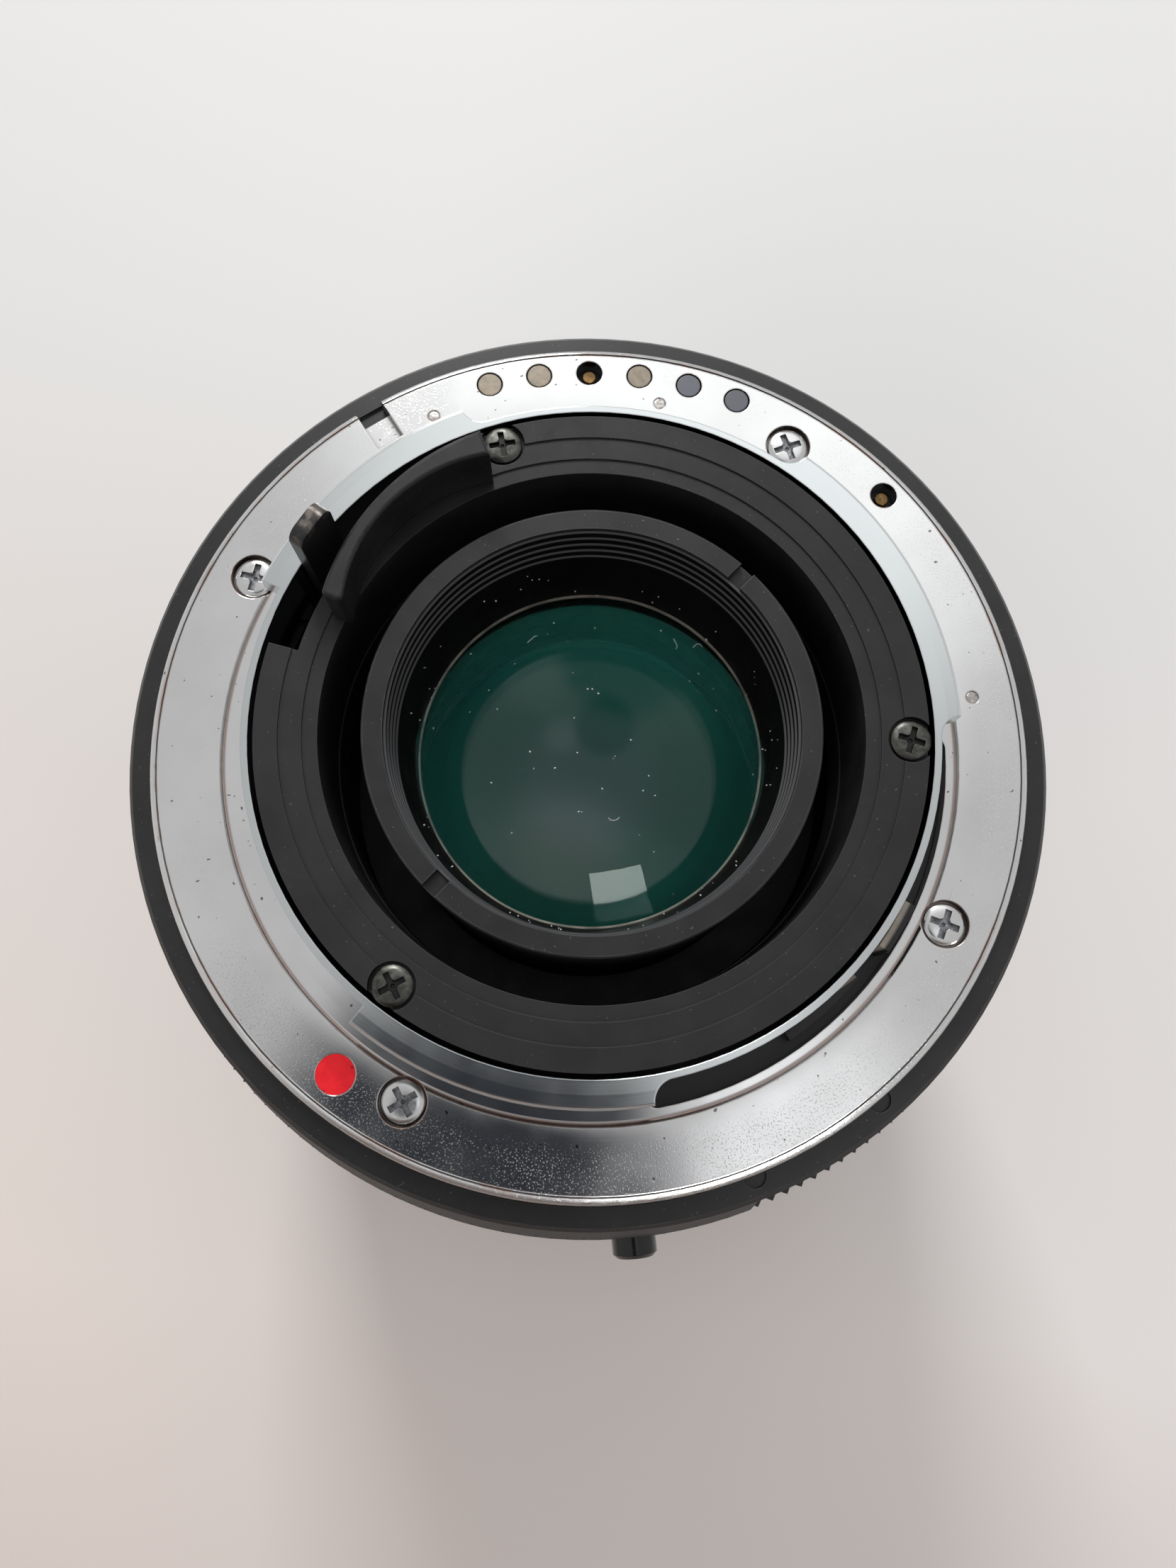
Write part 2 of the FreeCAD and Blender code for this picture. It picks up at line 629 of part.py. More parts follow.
# Light baffle
def guard_fin():
    """A curved wall between two circles whose centres lie off the axis, so it thins towards one end."""
    top = level(baffle_top - FIN_HEIGHT)
    height = FIN_HEIGHT + 2 * BAFFLE_STEP
    foot = top - height
    outer = Part.makeCylinder(FIN_OUTER_R, height, FreeCAD.Vector(*FIN_OUTER_CENTRE, foot))
    inner = Part.makeCylinder(FIN_INNER_R, height + 2, FreeCAD.Vector(*FIN_INNER_CENTRE, foot - 1))
    sector = ring(BAFFLE_STEPS[0] - 2.5, BAFFLE_R, baffle_top - FIN_HEIGHT, baffle_top + 2 * BAFFLE_STEP, *FIN_SPAN)
    fin = only_solid(outer.cut(inner).common(sector))
    thin_end = outward(FIN_SPAN[1]) * BAFFLE_STEPS[0]
    upright = [e for e in fin.Edges if e.BoundBox.XLength + e.BoundBox.YLength < FIT]
    at_end = [e for e in upright if (e.CenterOfMass - thin_end).cross(AXIS).Length < 2 * FIN_END_REACH]
    fin = fin.makeFillet(FIN_END_ROUND, at_end)
    rim = [e for e in fin.Edges if abs(e.BoundBox.ZMin - top) < FIT and e.BoundBox.ZLength < FIT]
    return fin.makeFillet(FIN_TOP_ROUND, rim)


def make_light_baffle():
    skirt_r = INNER_TUBE_R + 0.1
    step_a, step_b = BAFFLE_STEPS
    drop = BAFFLE_STEP
    profile = [(skirt_r, baffle_top + 2 * drop), (step_a, baffle_top + 2 * drop), (step_a, baffle_top + drop),
               (step_b, baffle_top + drop), (step_b, baffle_top), (BAFFLE_R, baffle_top),
               (BAFFLE_R, baffle_under), (skirt_r + BAFFLE_SKIRT, baffle_under),
               (skirt_r + BAFFLE_SKIRT, SHELF_DEPTH), (skirt_r, SHELF_DEPTH)]
    baffle = turned(profile)
    baffle = baffle.cut(ring(BAFFLE_SLOT_R, BAFFLE_R + 1, baffle_top - 1, baffle_under + 1, *BAFFLE_SLOT))
    baffle = baffle.fuse(guard_fin())
    cuts = []
    for angle in POST_ANGLES:
        place = (POST_RING_R, angle)
        cuts.append(disc(BAFFLE_SCREW_HEAD_R + SCREW_SEAT_GAP, baffle_top - 0.2,
                         baffle_top + BAFFLE_SCREW_HEAD, place))
        cuts.append(disc(BAFFLE_SCREW_SHANK_R, baffle_top, baffle_under + 1, place))
    return only_solid(baffle.cut(cuts))


def make_baffle_screws():
    screws = []
    for angle in POST_ANGLES:
        screws.append(screw((POST_RING_R, angle), baffle_top, BAFFLE_SCREW_HEAD_R, BAFFLE_SCREW_HEAD,
                            BAFFLE_SCREW_SHANK_R, BAFFLE_SCREW_LENGTH))
    return compound(screws)


# Aperture coupling ring
coupling_top = FLANGE_THICK + COUPLING_GAP
coupling_under = SHELF_DEPTH - COUPLING_GAP
arm_span = (ARM_ANGLE - ARM_HALF_SPAN, ARM_ANGLE + ARM_HALF_SPAN)


def make_coupling_ring():
    body = ring(COUPLING_R_IN, COUPLING_R_OUT, coupling_top, coupling_under)
    body = body.fuse([ring(TAB_R_IN, TAB_R_OUT, -TAB_HEIGHT, coupling_under, *TAB_SPAN),
                      ring(TAB_R_IN, LAND_R_OUT, LAND_DEPTH, coupling_under, *LAND_SPAN),
                      ring(TAB_R_OUT, ARM_R_OUT, coupling_top, coupling_under, *arm_span)])
    return only_solid(body)


# Aperture ring
aperture_bore_r = HOUSING_R + FIT
ledge_top = FLANGE_THICK + FIT


def ribbed_band(r_in, r_root, r_rib, ribs, near, far):
    """A band whose outer wall carries ribs along the axis."""
    points = []
    pitch = FULL_TURN / ribs
    for i in range(ribs):
        points.append(polar(r_root, i * pitch, far))
        points.append(polar(r_rib, (i + 0.5) * pitch, far))
    outline = Part.makePolygon(points + points[:1])
    band = Part.Face(outline).extrude(FreeCAD.Vector(0, 0, far - near))
    return band.cut(disc(r_in, near - 1, far + 1))


def make_aperture_ring():
    edge = APERTURE_EDGE
    profile = [(aperture_bore_r, ledge_top), (APERTURE_LIP_R, ledge_top), (APERTURE_LIP_R, APERTURE_RING_TOP),
               (APERTURE_RING_R - edge, APERTURE_RING_TOP), (APERTURE_RING_R, APERTURE_RING_TOP + edge),
               (APERTURE_RING_R, GRIP_START), (aperture_bore_r, GRIP_START)]
    body = turned(profile)
    band = ribbed_band(aperture_bore_r, GRIP_ROOT_R, GRIP_RIB_R, GRIP_RIB_COUNT, GRIP_START, APERTURE_RING_END)
    under = APERTURE_RING_R - 1.0
    land = turned([(under, APERTURE_RING_TOP + edge), (APERTURE_RING_R, APERTURE_RING_TOP + edge),
                   (SCALE_LAND_R, SCALE_LAND_SHOULDER), (SCALE_LAND_R, APERTURE_RING_END - edge),
                   (SCALE_LAND_R - edge, APERTURE_RING_END), (under, APERTURE_RING_END)], *SCALE_LAND_SPAN)
    body = body.fuse([band, land])
    cuts = [disc(RING_NOTCH_R, 0, ledge_top, (APERTURE_LIP_R, angle)) for angle in RING_NOTCH_ANGLES]
    cuts.append(ring(HOUSING_R, ARM_R_OUT + 0.1, 0, coupling_under, arm_span[0] - 0.3, arm_span[1] + 0.3))
    cuts.append(spoke(BUTTON_R + BUTTON_FIT, HOUSING_R, BUTTON_TIP_R, BUTTON_ANGLE, BUTTON_DEPTH))
    cuts.append(spoke(BUTTON_HEAD_R + BUTTON_FIT, HOUSING_R, BUTTON_SHOULDER_R, BUTTON_ANGLE, BUTTON_DEPTH))
    return only_solid(body.cut(cuts))


def make_lock_button():
    head_r_pos = BUTTON_SHOULDER_R - BUTTON_HEAD - 0.05
    shaft = spoke(BUTTON_R, head_r_pos, BUTTON_TIP_R - BUTTON_CHAMFER, BUTTON_ANGLE, BUTTON_DEPTH)
    cone = Part.makeCone(BUTTON_R, BUTTON_R - BUTTON_CHAMFER, BUTTON_CHAMFER,
                         polar(BUTTON_TIP_R - BUTTON_CHAMFER, BUTTON_ANGLE, BUTTON_DEPTH),
                         outward(BUTTON_ANGLE))
    head = spoke(BUTTON_HEAD_R, head_r_pos, head_r_pos + BUTTON_HEAD, BUTTON_ANGLE, BUTTON_DEPTH)
    return shaft.fuse([cone, head])


# Stop-down lever
lever_ring_r_in = inner_tube_outer_r + FIT
lever_ring_end = LEVER_RING_DEPTH + LEVER_RING_THICK


def make_lever_ring():
    body = ring(lever_ring_r_in, LEVER_RING_R, LEVER_RING_DEPTH, lever_ring_end)
    tongue = bar(TONGUE_R_IN, TONGUE_R_IN + TONGUE_THICK, TONGUE_WIDTH, LEVER_RING_DEPTH, TONGUE_END,
                 TONGUE_ANGLE)
    return only_solid(body.fuse(tongue))


def make_stop_down_lever():
    top = -LEVER_TOP
    upright = bar(LEVER_R_IN, LEVER_R_IN + LEVER_THICK, LEVER_WIDTH, top, LEVER_RING_DEPTH, 0.0)
    edges = []
    for edge in upright.Edges:
        box = edge.BoundBox
        if box.ZMin > level(top) - 0.01 and box.YLength < 0.01:
            edges.append(edge)
    upright = upright.makeFillet(LEVER_CORNER, edges)
    upright.rotate(ORIGIN, AXIS, LEVER_ANGLE)
    foot = ring(lever_ring_r_in + 0.2, LEVER_R_IN + LEVER_THICK, LEVER_RING_DEPTH - LEVER_FOOT, LEVER_RING_DEPTH,
                LEVER_ANGLE - LEVER_FOOT_HALF_SPAN, LEVER_ANGLE + LEVER_FOOT_HALF_SPAN)
    return only_solid(upright.fuse(foot))


def make_lever_clip():
    return ring(CLIP_GROOVE_R, CLIP_R, CLIP_DEPTH, CLIP_DEPTH + CLIP_THICK, CLIP_GAP / 2, FULL_TURN - CLIP_GAP / 2)


# Guide barrel, cam tube and zoom ring
slot_half = FOLLOWER_R + SLOT_PLAY
key_slot_half = KEY_R + SLOT_PLAY
zoom_bore_r = GUIDE_R_OUT + FIT


def make_guide_barrel():
    barrel = ring(GUIDE_R_IN, GUIDE_R_OUT, foot_end, GUIDE_END)
    cuts = []
    for angle in REAR_FOLLOWER_ANGLES:
        cuts.append(straight_slot(GUIDE_R_IN - 1, GUIDE_R_OUT + 1, slot_half, angle, REAR_FOLLOWER_DEPTH,
                                  REAR_FOLLOWER_DEPTH + REAR_ZOOM_TRAVEL))
    for angle in FRONT_FOLLOWER_ANGLES:
        cuts.append(straight_slot(GUIDE_R_IN - 1, GUIDE_R_OUT + 1, slot_half, angle, FRONT_FOLLOWER_DEPTH,
                                  FRONT_FOLLOWER_DEPTH + FRONT_ZOOM_TRAVEL))
    cuts.append(ring(GUIDE_R_IN - 1, GUIDE_R_OUT + 1, KEY_DEPTH - key_slot_half, KEY_DEPTH + key_slot_half,
                     KEY_ANGLE, KEY_ANGLE + ZOOM_TURN))
    for angle in (KEY_ANGLE, KEY_ANGLE + ZOOM_TURN):
        cuts.append(spoke(key_slot_half, GUIDE_R_IN - 1, GUIDE_R_OUT + 1, angle, KEY_DEPTH))
    return only_solid(barrel.cut(cuts))


def make_cam_tube():
    tube = ring(CAM_R_IN, CAM_R_OUT, CAM_START, CAM_END)
    cuts = [spoke(KEY_R, CAM_R_IN - 1, CAM_R_OUT + 1, KEY_ANGLE, KEY_DEPTH)]
    for angle in REAR_FOLLOWER_ANGLES:
        cuts += helical_slot(CAM_R_IN - 0.5, CAM_R_OUT + 0.5, slot_half, angle, REAR_FOLLOWER_DEPTH,
                             ZOOM_TURN, REAR_ZOOM_TRAVEL)
    for angle in FRONT_FOLLOWER_ANGLES:
        cuts += helical_slot(CAM_R_IN - 0.5, CAM_R_OUT + 0.5, slot_half, angle, FRONT_FOLLOWER_DEPTH,
                             ZOOM_TURN, FRONT_ZOOM_TRAVEL)
    return cut_each(tube, cuts)


def make_zoom_ring():
    edge = 0.3
    profile = [(zoom_bore_r, ZOOM_RING_START), (ZOOM_RING_R - edge, ZOOM_RING_START),
               (ZOOM_RING_R, ZOOM_RING_START + edge), (ZOOM_RING_R, GUIDE_END - 0.2 - edge),
               (ZOOM_RING_R - edge, GUIDE_END - 0.2), (zoom_bore_r, GUIDE_END - 0.2)]
    body = turned(profile)
    body = body.cut(spoke(KEY_R, zoom_bore_r - 1, ZOOM_RING_R + 1, KEY_ANGLE, KEY_DEPTH))
    return only_solid(body)


def make_zoom_key():
    return spoke(KEY_R, CAM_R_IN, ZOOM_RING_R - 0.1, KEY_ANGLE, KEY_DEPTH)


def rubber_grip(r_in, r_out, span, blocks):
    """A rubber sleeve with grooves along the axis."""
    near, far = span
    root_r = r_out - GRIP_GROOVE_DEPTH
    pitch = FULL_TURN / blocks
    points = []
    for i in range(blocks):
        for share, radius in ((0.0, root_r), (GRIP_GROOVE_SHARE, root_r), (GRIP_GROOVE_SHARE, r_out),
                              (1.0, r_out)):
            points.append(polar(radius, (i + share) * pitch, far))
    outline = Part.makePolygon(points + points[:1])
    sleeve = Part.Face(outline).extrude(FreeCAD.Vector(0, 0, far - near))
    return sleeve.cut(disc(r_in, near - 1, far + 1))


def make_index_ring():
    edge = 0.25
    profile = [(GUIDE_R_OUT, INDEX_RING_START), (INDEX_RING_R - edge, INDEX_RING_START),
               (INDEX_RING_R, INDEX_RING_START + edge), (INDEX_RING_R, ZOOM_RING_START - SLIDE_GAP - edge),
               (INDEX_RING_R - edge, ZOOM_RING_START - SLIDE_GAP), (GUIDE_R_OUT, ZOOM_RING_START - SLIDE_GAP)]
    body = turned(profile)
    mark = spoke(INDEX_MARK_R, INDEX_RING_R - INDEX_MARK_SINK, INDEX_RING_R + 1, INDEX_MARK_ANGLE,
                 INDEX_MARK_DEPTH)
    return only_solid(body.cut(mark))


def make_index_mark():
    return spoke(INDEX_MARK_R, INDEX_RING_R - INDEX_MARK_SINK, INDEX_RING_R + 0.1, INDEX_MARK_ANGLE,
                 INDEX_MARK_DEPTH)


def make_zoom_retainer():
    edge = 0.3
    return turned([(SLEEVE_R_OUT + FIT, GUIDE_END), (ZOOM_RING_R, GUIDE_END), (ZOOM_RING_R, RETAINER_END - edge),
                   (ZOOM_RING_R - edge, RETAINER_END), (SLEEVE_R_OUT + FIT, RETAINER_END)])


# Rear lens group
cell_ring_under = -CELL_RING_TOP + CELL_RING_LIP
cell_bore_r = CELL_R - CELL_WALL
trap_start = cell_ring_under + CELL_RING_THREAD
rear_glass_end = REAR_GLASS_DEPTH + REAR_GLASS_EDGE


def make_rear_cell():
    return turned([(cell_bore_r, cell_ring_under), (CELL_R, cell_ring_under), (CELL_R, CELL_END),
                   (IRIS_OPEN_R, CELL_END), (IRIS_OPEN_R, CELL_END - 1.0), (REAR_GLASS_R, CELL_END - 1.0),
                   (REAR_GLASS_R, REAR_GLASS_DEPTH), (cell_bore_r, REAR_GLASS_DEPTH)])


def make_cell_ring():
    body = turned([(CELL_RING_R_IN, -CELL_RING_TOP), (CELL_R - 0.1, -CELL_RING_TOP), (CELL_R, 0.1 - CELL_RING_TOP),
                   (CELL_R, cell_ring_under), (cell_bore_r, cell_ring_under), (cell_bore_r, trap_start),
                   (CELL_RING_R_IN, trap_start)])
    top = -CELL_RING_TOP
    slots = [bar(0.0, CELL_R + 1, SPANNER_SLOT_WIDTH, top - 1, top + SPANNER_SLOT_DEPTH, SPANNER_SLOT_ANGLE + half)
             for half in (0.0, 180.0)]
    return only_solid(body.cut(slots))


def make_light_trap():
    """The ridged sleeve between the cell ring and the rear glass."""
    step = (REAR_GLASS_DEPTH - trap_start) / TRAP_RIDGE_COUNT
    profile = [(cell_bore_r, REAR_GLASS_DEPTH), (cell_bore_r, trap_start)]
    for i in range(TRAP_RIDGE_COUNT):
        radius = TRAP_R_START + (TRAP_R_END - TRAP_R_START) * i / (TRAP_RIDGE_COUNT - 1)
        near = trap_start + i * step
        profile.append((radius, near))
        profile.append((radius, near + step / 2))
        profile.append((radius + TRAP_GROOVE, near + step / 2))
        profile.append((radius + TRAP_GROOVE, near + step))
    profile[-1] = (TRAP_R_END, REAR_GLASS_DEPTH)
    profile[-2] = (TRAP_R_END, REAR_GLASS_DEPTH - step / 2)
    del profile[-3]
    return only_solid(turned(profile).cut(make_rear_element()))


def sag(radius, curve):
    return curve - math.sqrt(curve * curve - radius * radius)


def face_points(radius, rim_depth, bulge, side):
    """Apex, middle and rim of a lens face; side is -1 for the near face and 1 for the far one."""
    curve = (radius * radius + bulge * bulge) / (2 * abs(bulge))
    apex_depth = rim_depth + side * bulge
    middle_depth = apex_depth - side * math.copysign(sag(radius / 2, curve), bulge)
    return [FreeCAD.Vector(0, 0, level(apex_depth)), FreeCAD.Vector(radius / 2, 0, level(middle_depth)),
            FreeCAD.Vector(radius, 0, level(rim_depth))]


def glass(radius, near, far, near_bulge, far_bulge):
    """A lens element between two rim depths; a hollow face has a negative bulge."""
    near_face = face_points(radius, near, near_bulge, -1)
    far_face = face_points(radius, far, far_bulge, 1)
    edges = [Part.Arc(*near_face).toShape(), Part.makeLine(near_face[2], far_face[2]),
             Part.Arc(*far_face[::-1]).toShape(), Part.makeLine(far_face[0], near_face[0])]
    return Part.Face(Part.Wire(edges)).revolve(ORIGIN, AXIS, FULL_TURN)


def make_rear_element():
    return glass(REAR_GLASS_R, REAR_GLASS_DEPTH, rear_glass_end, sag(REAR_GLASS_R, REAR_GLASS_CURVE), 0.4)


def make_rear_spacer():
    spacer = ring(REAR_GLASS_R - 1.2, REAR_GLASS_R, rear_glass_end, REAR_SPACER_END)
    return only_solid(spacer.cut(make_rear_element()))


def make_rear_inner_element():
    end = REAR_SPACER_END + INNER_GLASS_EDGE
    return glass(REAR_GLASS_R, REAR_SPACER_END, end, -sag(REAR_GLASS_R, INNER_GLASS_HOLLOW),
                 sag(REAR_GLASS_R, INNER_GLASS_CURVE))


def make_rear_lock_ring():
    end = REAR_SPACER_END + INNER_GLASS_EDGE
    lock = ring(REAR_GLASS_R - 1.0, REAR_GLASS_R, end, CELL_END - 1.0)
    return only_solid(lock.cut(make_rear_inner_element()))


def make_group_carrier():
    near = REAR_FOLLOWER_DEPTH - CARRIER_ARM_THICK / 2
    far = REAR_FOLLOWER_DEPTH + CARRIER_ARM_THICK / 2
    hub = ring(CELL_R, CARRIER_HUB_R, CARRIER_START, CARRIER_END)
    arms = []
    for angle in REAR_FOLLOWER_ANGLES:
        arm = bar(CARRIER_HUB_R - 1.0, CAM_R_IN + 1, CARRIER_ARM_WIDTH, near, far, angle)
        arms.append(arm.common(disc(CAM_R_IN - SLIDE_GAP, near - 1, far + 1)))
    body = hub.fuse(arms)
    cuts = [spoke(FOLLOWER_R, FOLLOWER_ROOT_R, CAM_R_IN, angle, REAR_FOLLOWER_DEPTH)
            for angle in REAR_FOLLOWER_ANGLES]
    return only_solid(body.cut(cuts))


def pins(angles, depth, r_in, r_out):
    """Pins on three sides that run in slots."""
    return compound([spoke(FOLLOWER_R, r_in, r_out, angle, depth) for angle in angles])


def make_rear_followers():
    return pins(REAR_FOLLOWER_ANGLES, REAR_FOLLOWER_DEPTH, FOLLOWER_ROOT_R, FOLLOWER_TOP_R)


# Iris diaphragm
iris_base_end = CARRIER_END + IRIS_BASE_THICK
blade_top = iris_base_end + BLADE_GAP
blade_stack = BLADE_STEP * (BLADE_COUNT - 1) + BLADE_THICK
cam_ring_top = blade_top + blade_stack + BLADE_GAP
cam_ring_end = cam_ring_top + CAM_RING_THICK
iris_end = cam_ring_end + BLADE_GAP
blade_pitch = FULL_TURN / BLADE_COUNT
blade_ratio = BLADE_SWING / LEVER_TRAVEL


def make_iris_base():
    base = ring(IRIS_OPEN_R, IRIS_R, CARRIER_END, iris_base_end)
    wall = ring(IRIS_R - IRIS_WALL, IRIS_R, iris_base_end, iris_end)
    body = base.fuse(wall)
    cuts = [ring(CAM_RING_R, IRIS_R + 1, CARRIER_END - 1, iris_end + 1, *FORK_WINDOW)]
    for index in range(BLADE_COUNT):
        place = (BLADE_PIVOT_R, index * blade_pitch)
        cuts.append(disc(BLADE_PIN_R + 0.05, CARRIER_END - 1, iris_base_end + 1, place))
    return only_solid(body.cut(cuts))


def make_iris_cover():
    """The cover, with a spigot that the cam ring turns on."""
    spigot_r = CAM_BORE_R - FIT
    body = turned([(spigot_r - IRIS_SPIGOT_WALL, cam_ring_top), (spigot_r, cam_ring_top), (spigot_r, iris_end),
                   (IRIS_R, iris_end), (IRIS_R, iris_end + IRIS_COVER_THICK),
                   (spigot_r - IRIS_SPIGOT_WALL, iris_end + IRIS_COVER_THICK)])
    window = ring(CAM_RING_R, IRIS_R + 1, iris_end - 1, iris_end + 2, *FORK_WINDOW)
    return only_solid(body.cut(window))


def swung(index, swing):
    """Where a blade's cam pin stands, seen from above, once the blade has swung in."""
    pivot = polar(BLADE_PIVOT_R, index * blade_pitch, LENS_LENGTH)
    pin = polar(BLADE_PIVOT_R, index * blade_pitch + CAM_PIN_LEAD, LENS_LENGTH)
    return pivot + FreeCAD.Rotation(AXIS, swing).multVec(pin - pivot)


def make_iris_blade(index):
    """A crescent blade on a lug, with its pivot pin above and its cam pin below."""
    base = index * blade_pitch
    near = blade_top + index * BLADE_STEP
    far = near + BLADE_THICK
    blade = ring(BLADE_R_IN, BLADE_R_OUT, near, far, base + CAM_PIN_LEAD, base + BLADE_REACH)
    lug = ring(BLADE_R_OUT - 0.5, BLADE_PIVOT_R + BLADE_LUG_R, near, far, base + CAM_PIN_LEAD, base)
    ends = [disc(BLADE_LUG_R, near, far, (BLADE_PIVOT_R, base + lead)) for lead in (0.0, CAM_PIN_LEAD)]
    pivot = disc(BLADE_PIN_R, CARRIER_END + 0.1, far, (BLADE_PIVOT_R, base))
    cam_pin = disc(BLADE_PIN_R, near, cam_ring_end - 0.1, (BLADE_PIVOT_R, base + CAM_PIN_LEAD))
    return only_solid(blade.fuse([lug, pivot, cam_pin] + ends))


def make_iris_cam_ring():
    """The ring that swings the blades, with a fork for the tongue of the lever ring."""
    body = ring(CAM_BORE_R, CAM_RING_R, cam_ring_top, cam_ring_end)
    prongs = []
    for side in (-1, 1):
        prong = bar(CAM_RING_R - 1.0, FORK_R_OUT, FORK_PRONG, cam_ring_top, cam_ring_end, 0.0)
        prong.translate(FreeCAD.Vector(0, side * (TONGUE_WIDTH / 2 + FORK_PLAY + FORK_PRONG / 2), 0))
        prong.rotate(ORIGIN, AXIS, TONGUE_ANGLE)
        prongs.append(prong)
    body = body.fuse(prongs)
    cuts = []
    for index in range(BLADE_COUNT):
        points = []
        for step in range(CAM_SLOT_STEP_COUNT + 1):
            swing = BLADE_SWING * step / CAM_SLOT_STEP_COUNT
            back = FreeCAD.Rotation(AXIS, -swing / blade_ratio)
            points.append(back.multVec(swung(index, swing)))
        cuts.append(path_slot(points, BLADE_PIN_R + SLOT_PLAY, cam_ring_top - 1, cam_ring_end + 1))
    return only_solid(body.cut(cuts))


# Front barrel and focus ring
shell_r_in = FRONT_CELL_R + FIT
shell_r_out = shell_r_in + SHELL_WALL
focus_bore_r = shell_r_out + FIT
web_end = WEB_START + WEB_THICK
focus_start = web_end + FIT


def make_front_barrel():
    profile = [(SLEEVE_R_IN, SLEEVE_START), (SLEEVE_R_OUT, SLEEVE_START), (SLEEVE_R_OUT, WEB_START),
               (WEB_R, WEB_START), (WEB_R, web_end), (shell_r_out, web_end), (shell_r_out, SHELL_END),
               (shell_r_in, SHELL_END), (shell_r_in, web_end), (SLEEVE_R_IN, web_end)]
    body = turned(profile)
    cuts = [straight_slot(shell_r_in - 0.5, shell_r_out + 1, slot_half, angle, FOCUS_PIN_DEPTH,
                          FOCUS_PIN_DEPTH + FOCUS_TRAVEL) for angle in FOCUS_PIN_ANGLES]
    for angle in FRONT_FOLLOWER_ANGLES:
        cuts.append(spoke(FOLLOWER_R, SLEEVE_R_IN - 1, SLEEVE_R_OUT + 1, angle, FRONT_FOLLOWER_DEPTH))
    return only_solid(body.cut(cuts))


def make_front_followers():
    return pins(FRONT_FOLLOWER_ANGLES, FRONT_FOLLOWER_DEPTH, SLEEVE_R_IN, FOLLOWER_TOP_R)


def make_focus_ring():
    edge = 0.3
    far = SHELL_END - FIT
    profile = [(focus_bore_r, focus_start), (FOCUS_RING_R - edge, focus_start),
               (FOCUS_RING_R, focus_start + edge), (FOCUS_RING_R, far - edge), (FOCUS_RING_R - edge, far),
               (focus_bore_r, far)]
    cuts = []
    for angle in FOCUS_PIN_ANGLES:
        cuts += helical_slot(focus_bore_r - 0.5, FOCUS_GROOVE_R, slot_half, angle, FOCUS_PIN_DEPTH,
                             FOCUS_TURN, FOCUS_TRAVEL)
    return cut_each(turned(profile), cuts)


def make_focus_retainer():
    return ring(shell_r_in, WEB_R - 0.2, SHELL_END, SHELL_END + FRONT_RETAINER_THICK)


def make_front_cell():
    bore = FRONT_CELL_R - FRONT_CELL_WALL
    seat = FRONT_GLASS_DEPTH + FRONT_GLASS_EDGE
    thread_start = LENS_LENGTH - FILTER_THREAD_LENGTH
    profile = [(bore, FRONT_CELL_START), (FRONT_CELL_R, FRONT_CELL_START), (FRONT_CELL_R, HEAD_START),
               (HEAD_R, HEAD_START), (HEAD_R, LENS_LENGTH - HEAD_CHAMFER), (HEAD_R - HEAD_CHAMFER, LENS_LENGTH),
               (FILTER_THREAD_R, LENS_LENGTH), (FILTER_THREAD_R, thread_start), (FRONT_GLASS_R, thread_start),
               (FRONT_GLASS_R, FRONT_GLASS_DEPTH), (SECOND_GLASS_R + 0.6, FRONT_GLASS_DEPTH),
               (SECOND_GLASS_R + 0.6, FRONT_GLASS_DEPTH - 1.0), (SECOND_GLASS_R, FRONT_GLASS_DEPTH - 1.0),
               (SECOND_GLASS_R, SECOND_GLASS_DEPTH), (SECOND_GLASS_R - 1.5, SECOND_GLASS_DEPTH),
               (SECOND_GLASS_R - 1.5, SECOND_GLASS_DEPTH - 1.2), (bore, SECOND_GLASS_DEPTH - 1.2)]
    body = turned(profile)
    cuts = [spoke(FOLLOWER_R, bore - 1, FRONT_CELL_R + 1, angle, FOCUS_PIN_DEPTH)
            for angle in FOCUS_PIN_ANGLES]
    return only_solid(body.cut(cuts))


def make_focus_pins():
    return pins(FOCUS_PIN_ANGLES, FOCUS_PIN_DEPTH, FRONT_CELL_R - FRONT_CELL_WALL, FOCUS_PIN_TOP_R)


def make_front_element():
    end = FRONT_GLASS_DEPTH + FRONT_GLASS_EDGE
    return glass(FRONT_GLASS_R, FRONT_GLASS_DEPTH, end, -sag(FRONT_GLASS_R, FRONT_GLASS_HOLLOW),
                 sag(FRONT_GLASS_R, FRONT_GLASS_CURVE))


def make_front_second_element():
    end = SECOND_GLASS_DEPTH + SECOND_GLASS_EDGE
    return glass(SECOND_GLASS_R, SECOND_GLASS_DEPTH, end, -sag(SECOND_GLASS_R, SECOND_GLASS_CURVE),
                 -sag(SECOND_GLASS_R, SECOND_GLASS_HOLLOW))


def make_front_spacer():
    near = SECOND_GLASS_DEPTH + SECOND_GLASS_EDGE
    return ring(SECOND_GLASS_R - 1.2, SECOND_GLASS_R, near, FRONT_GLASS_DEPTH - 0.2)


def make_trim_ring():
    """The threaded ring that holds the front glass, with a bevel towards it."""
    seat = FRONT_GLASS_DEPTH + FRONT_GLASS_EDGE
    slope = TRIM_RING_LIP
    inner_r = FRONT_GLASS_R - slope
    thread_start = LENS_LENGTH - FILTER_THREAD_LENGTH
    return turned([(inner_r, seat + slope), (FRONT_GLASS_R, seat), (FRONT_GLASS_R, thread_start),
                   (FRONT_GLASS_R - slope / 2, thread_start), (inner_r, seat + 1.5 * slope)])


def save(name, shape):
    shape.exportStep("parts/" + name + ".step")
    print(name, len(shape.Solids), "solids", round(shape.Volume, 3), "valid", shape.isValid())


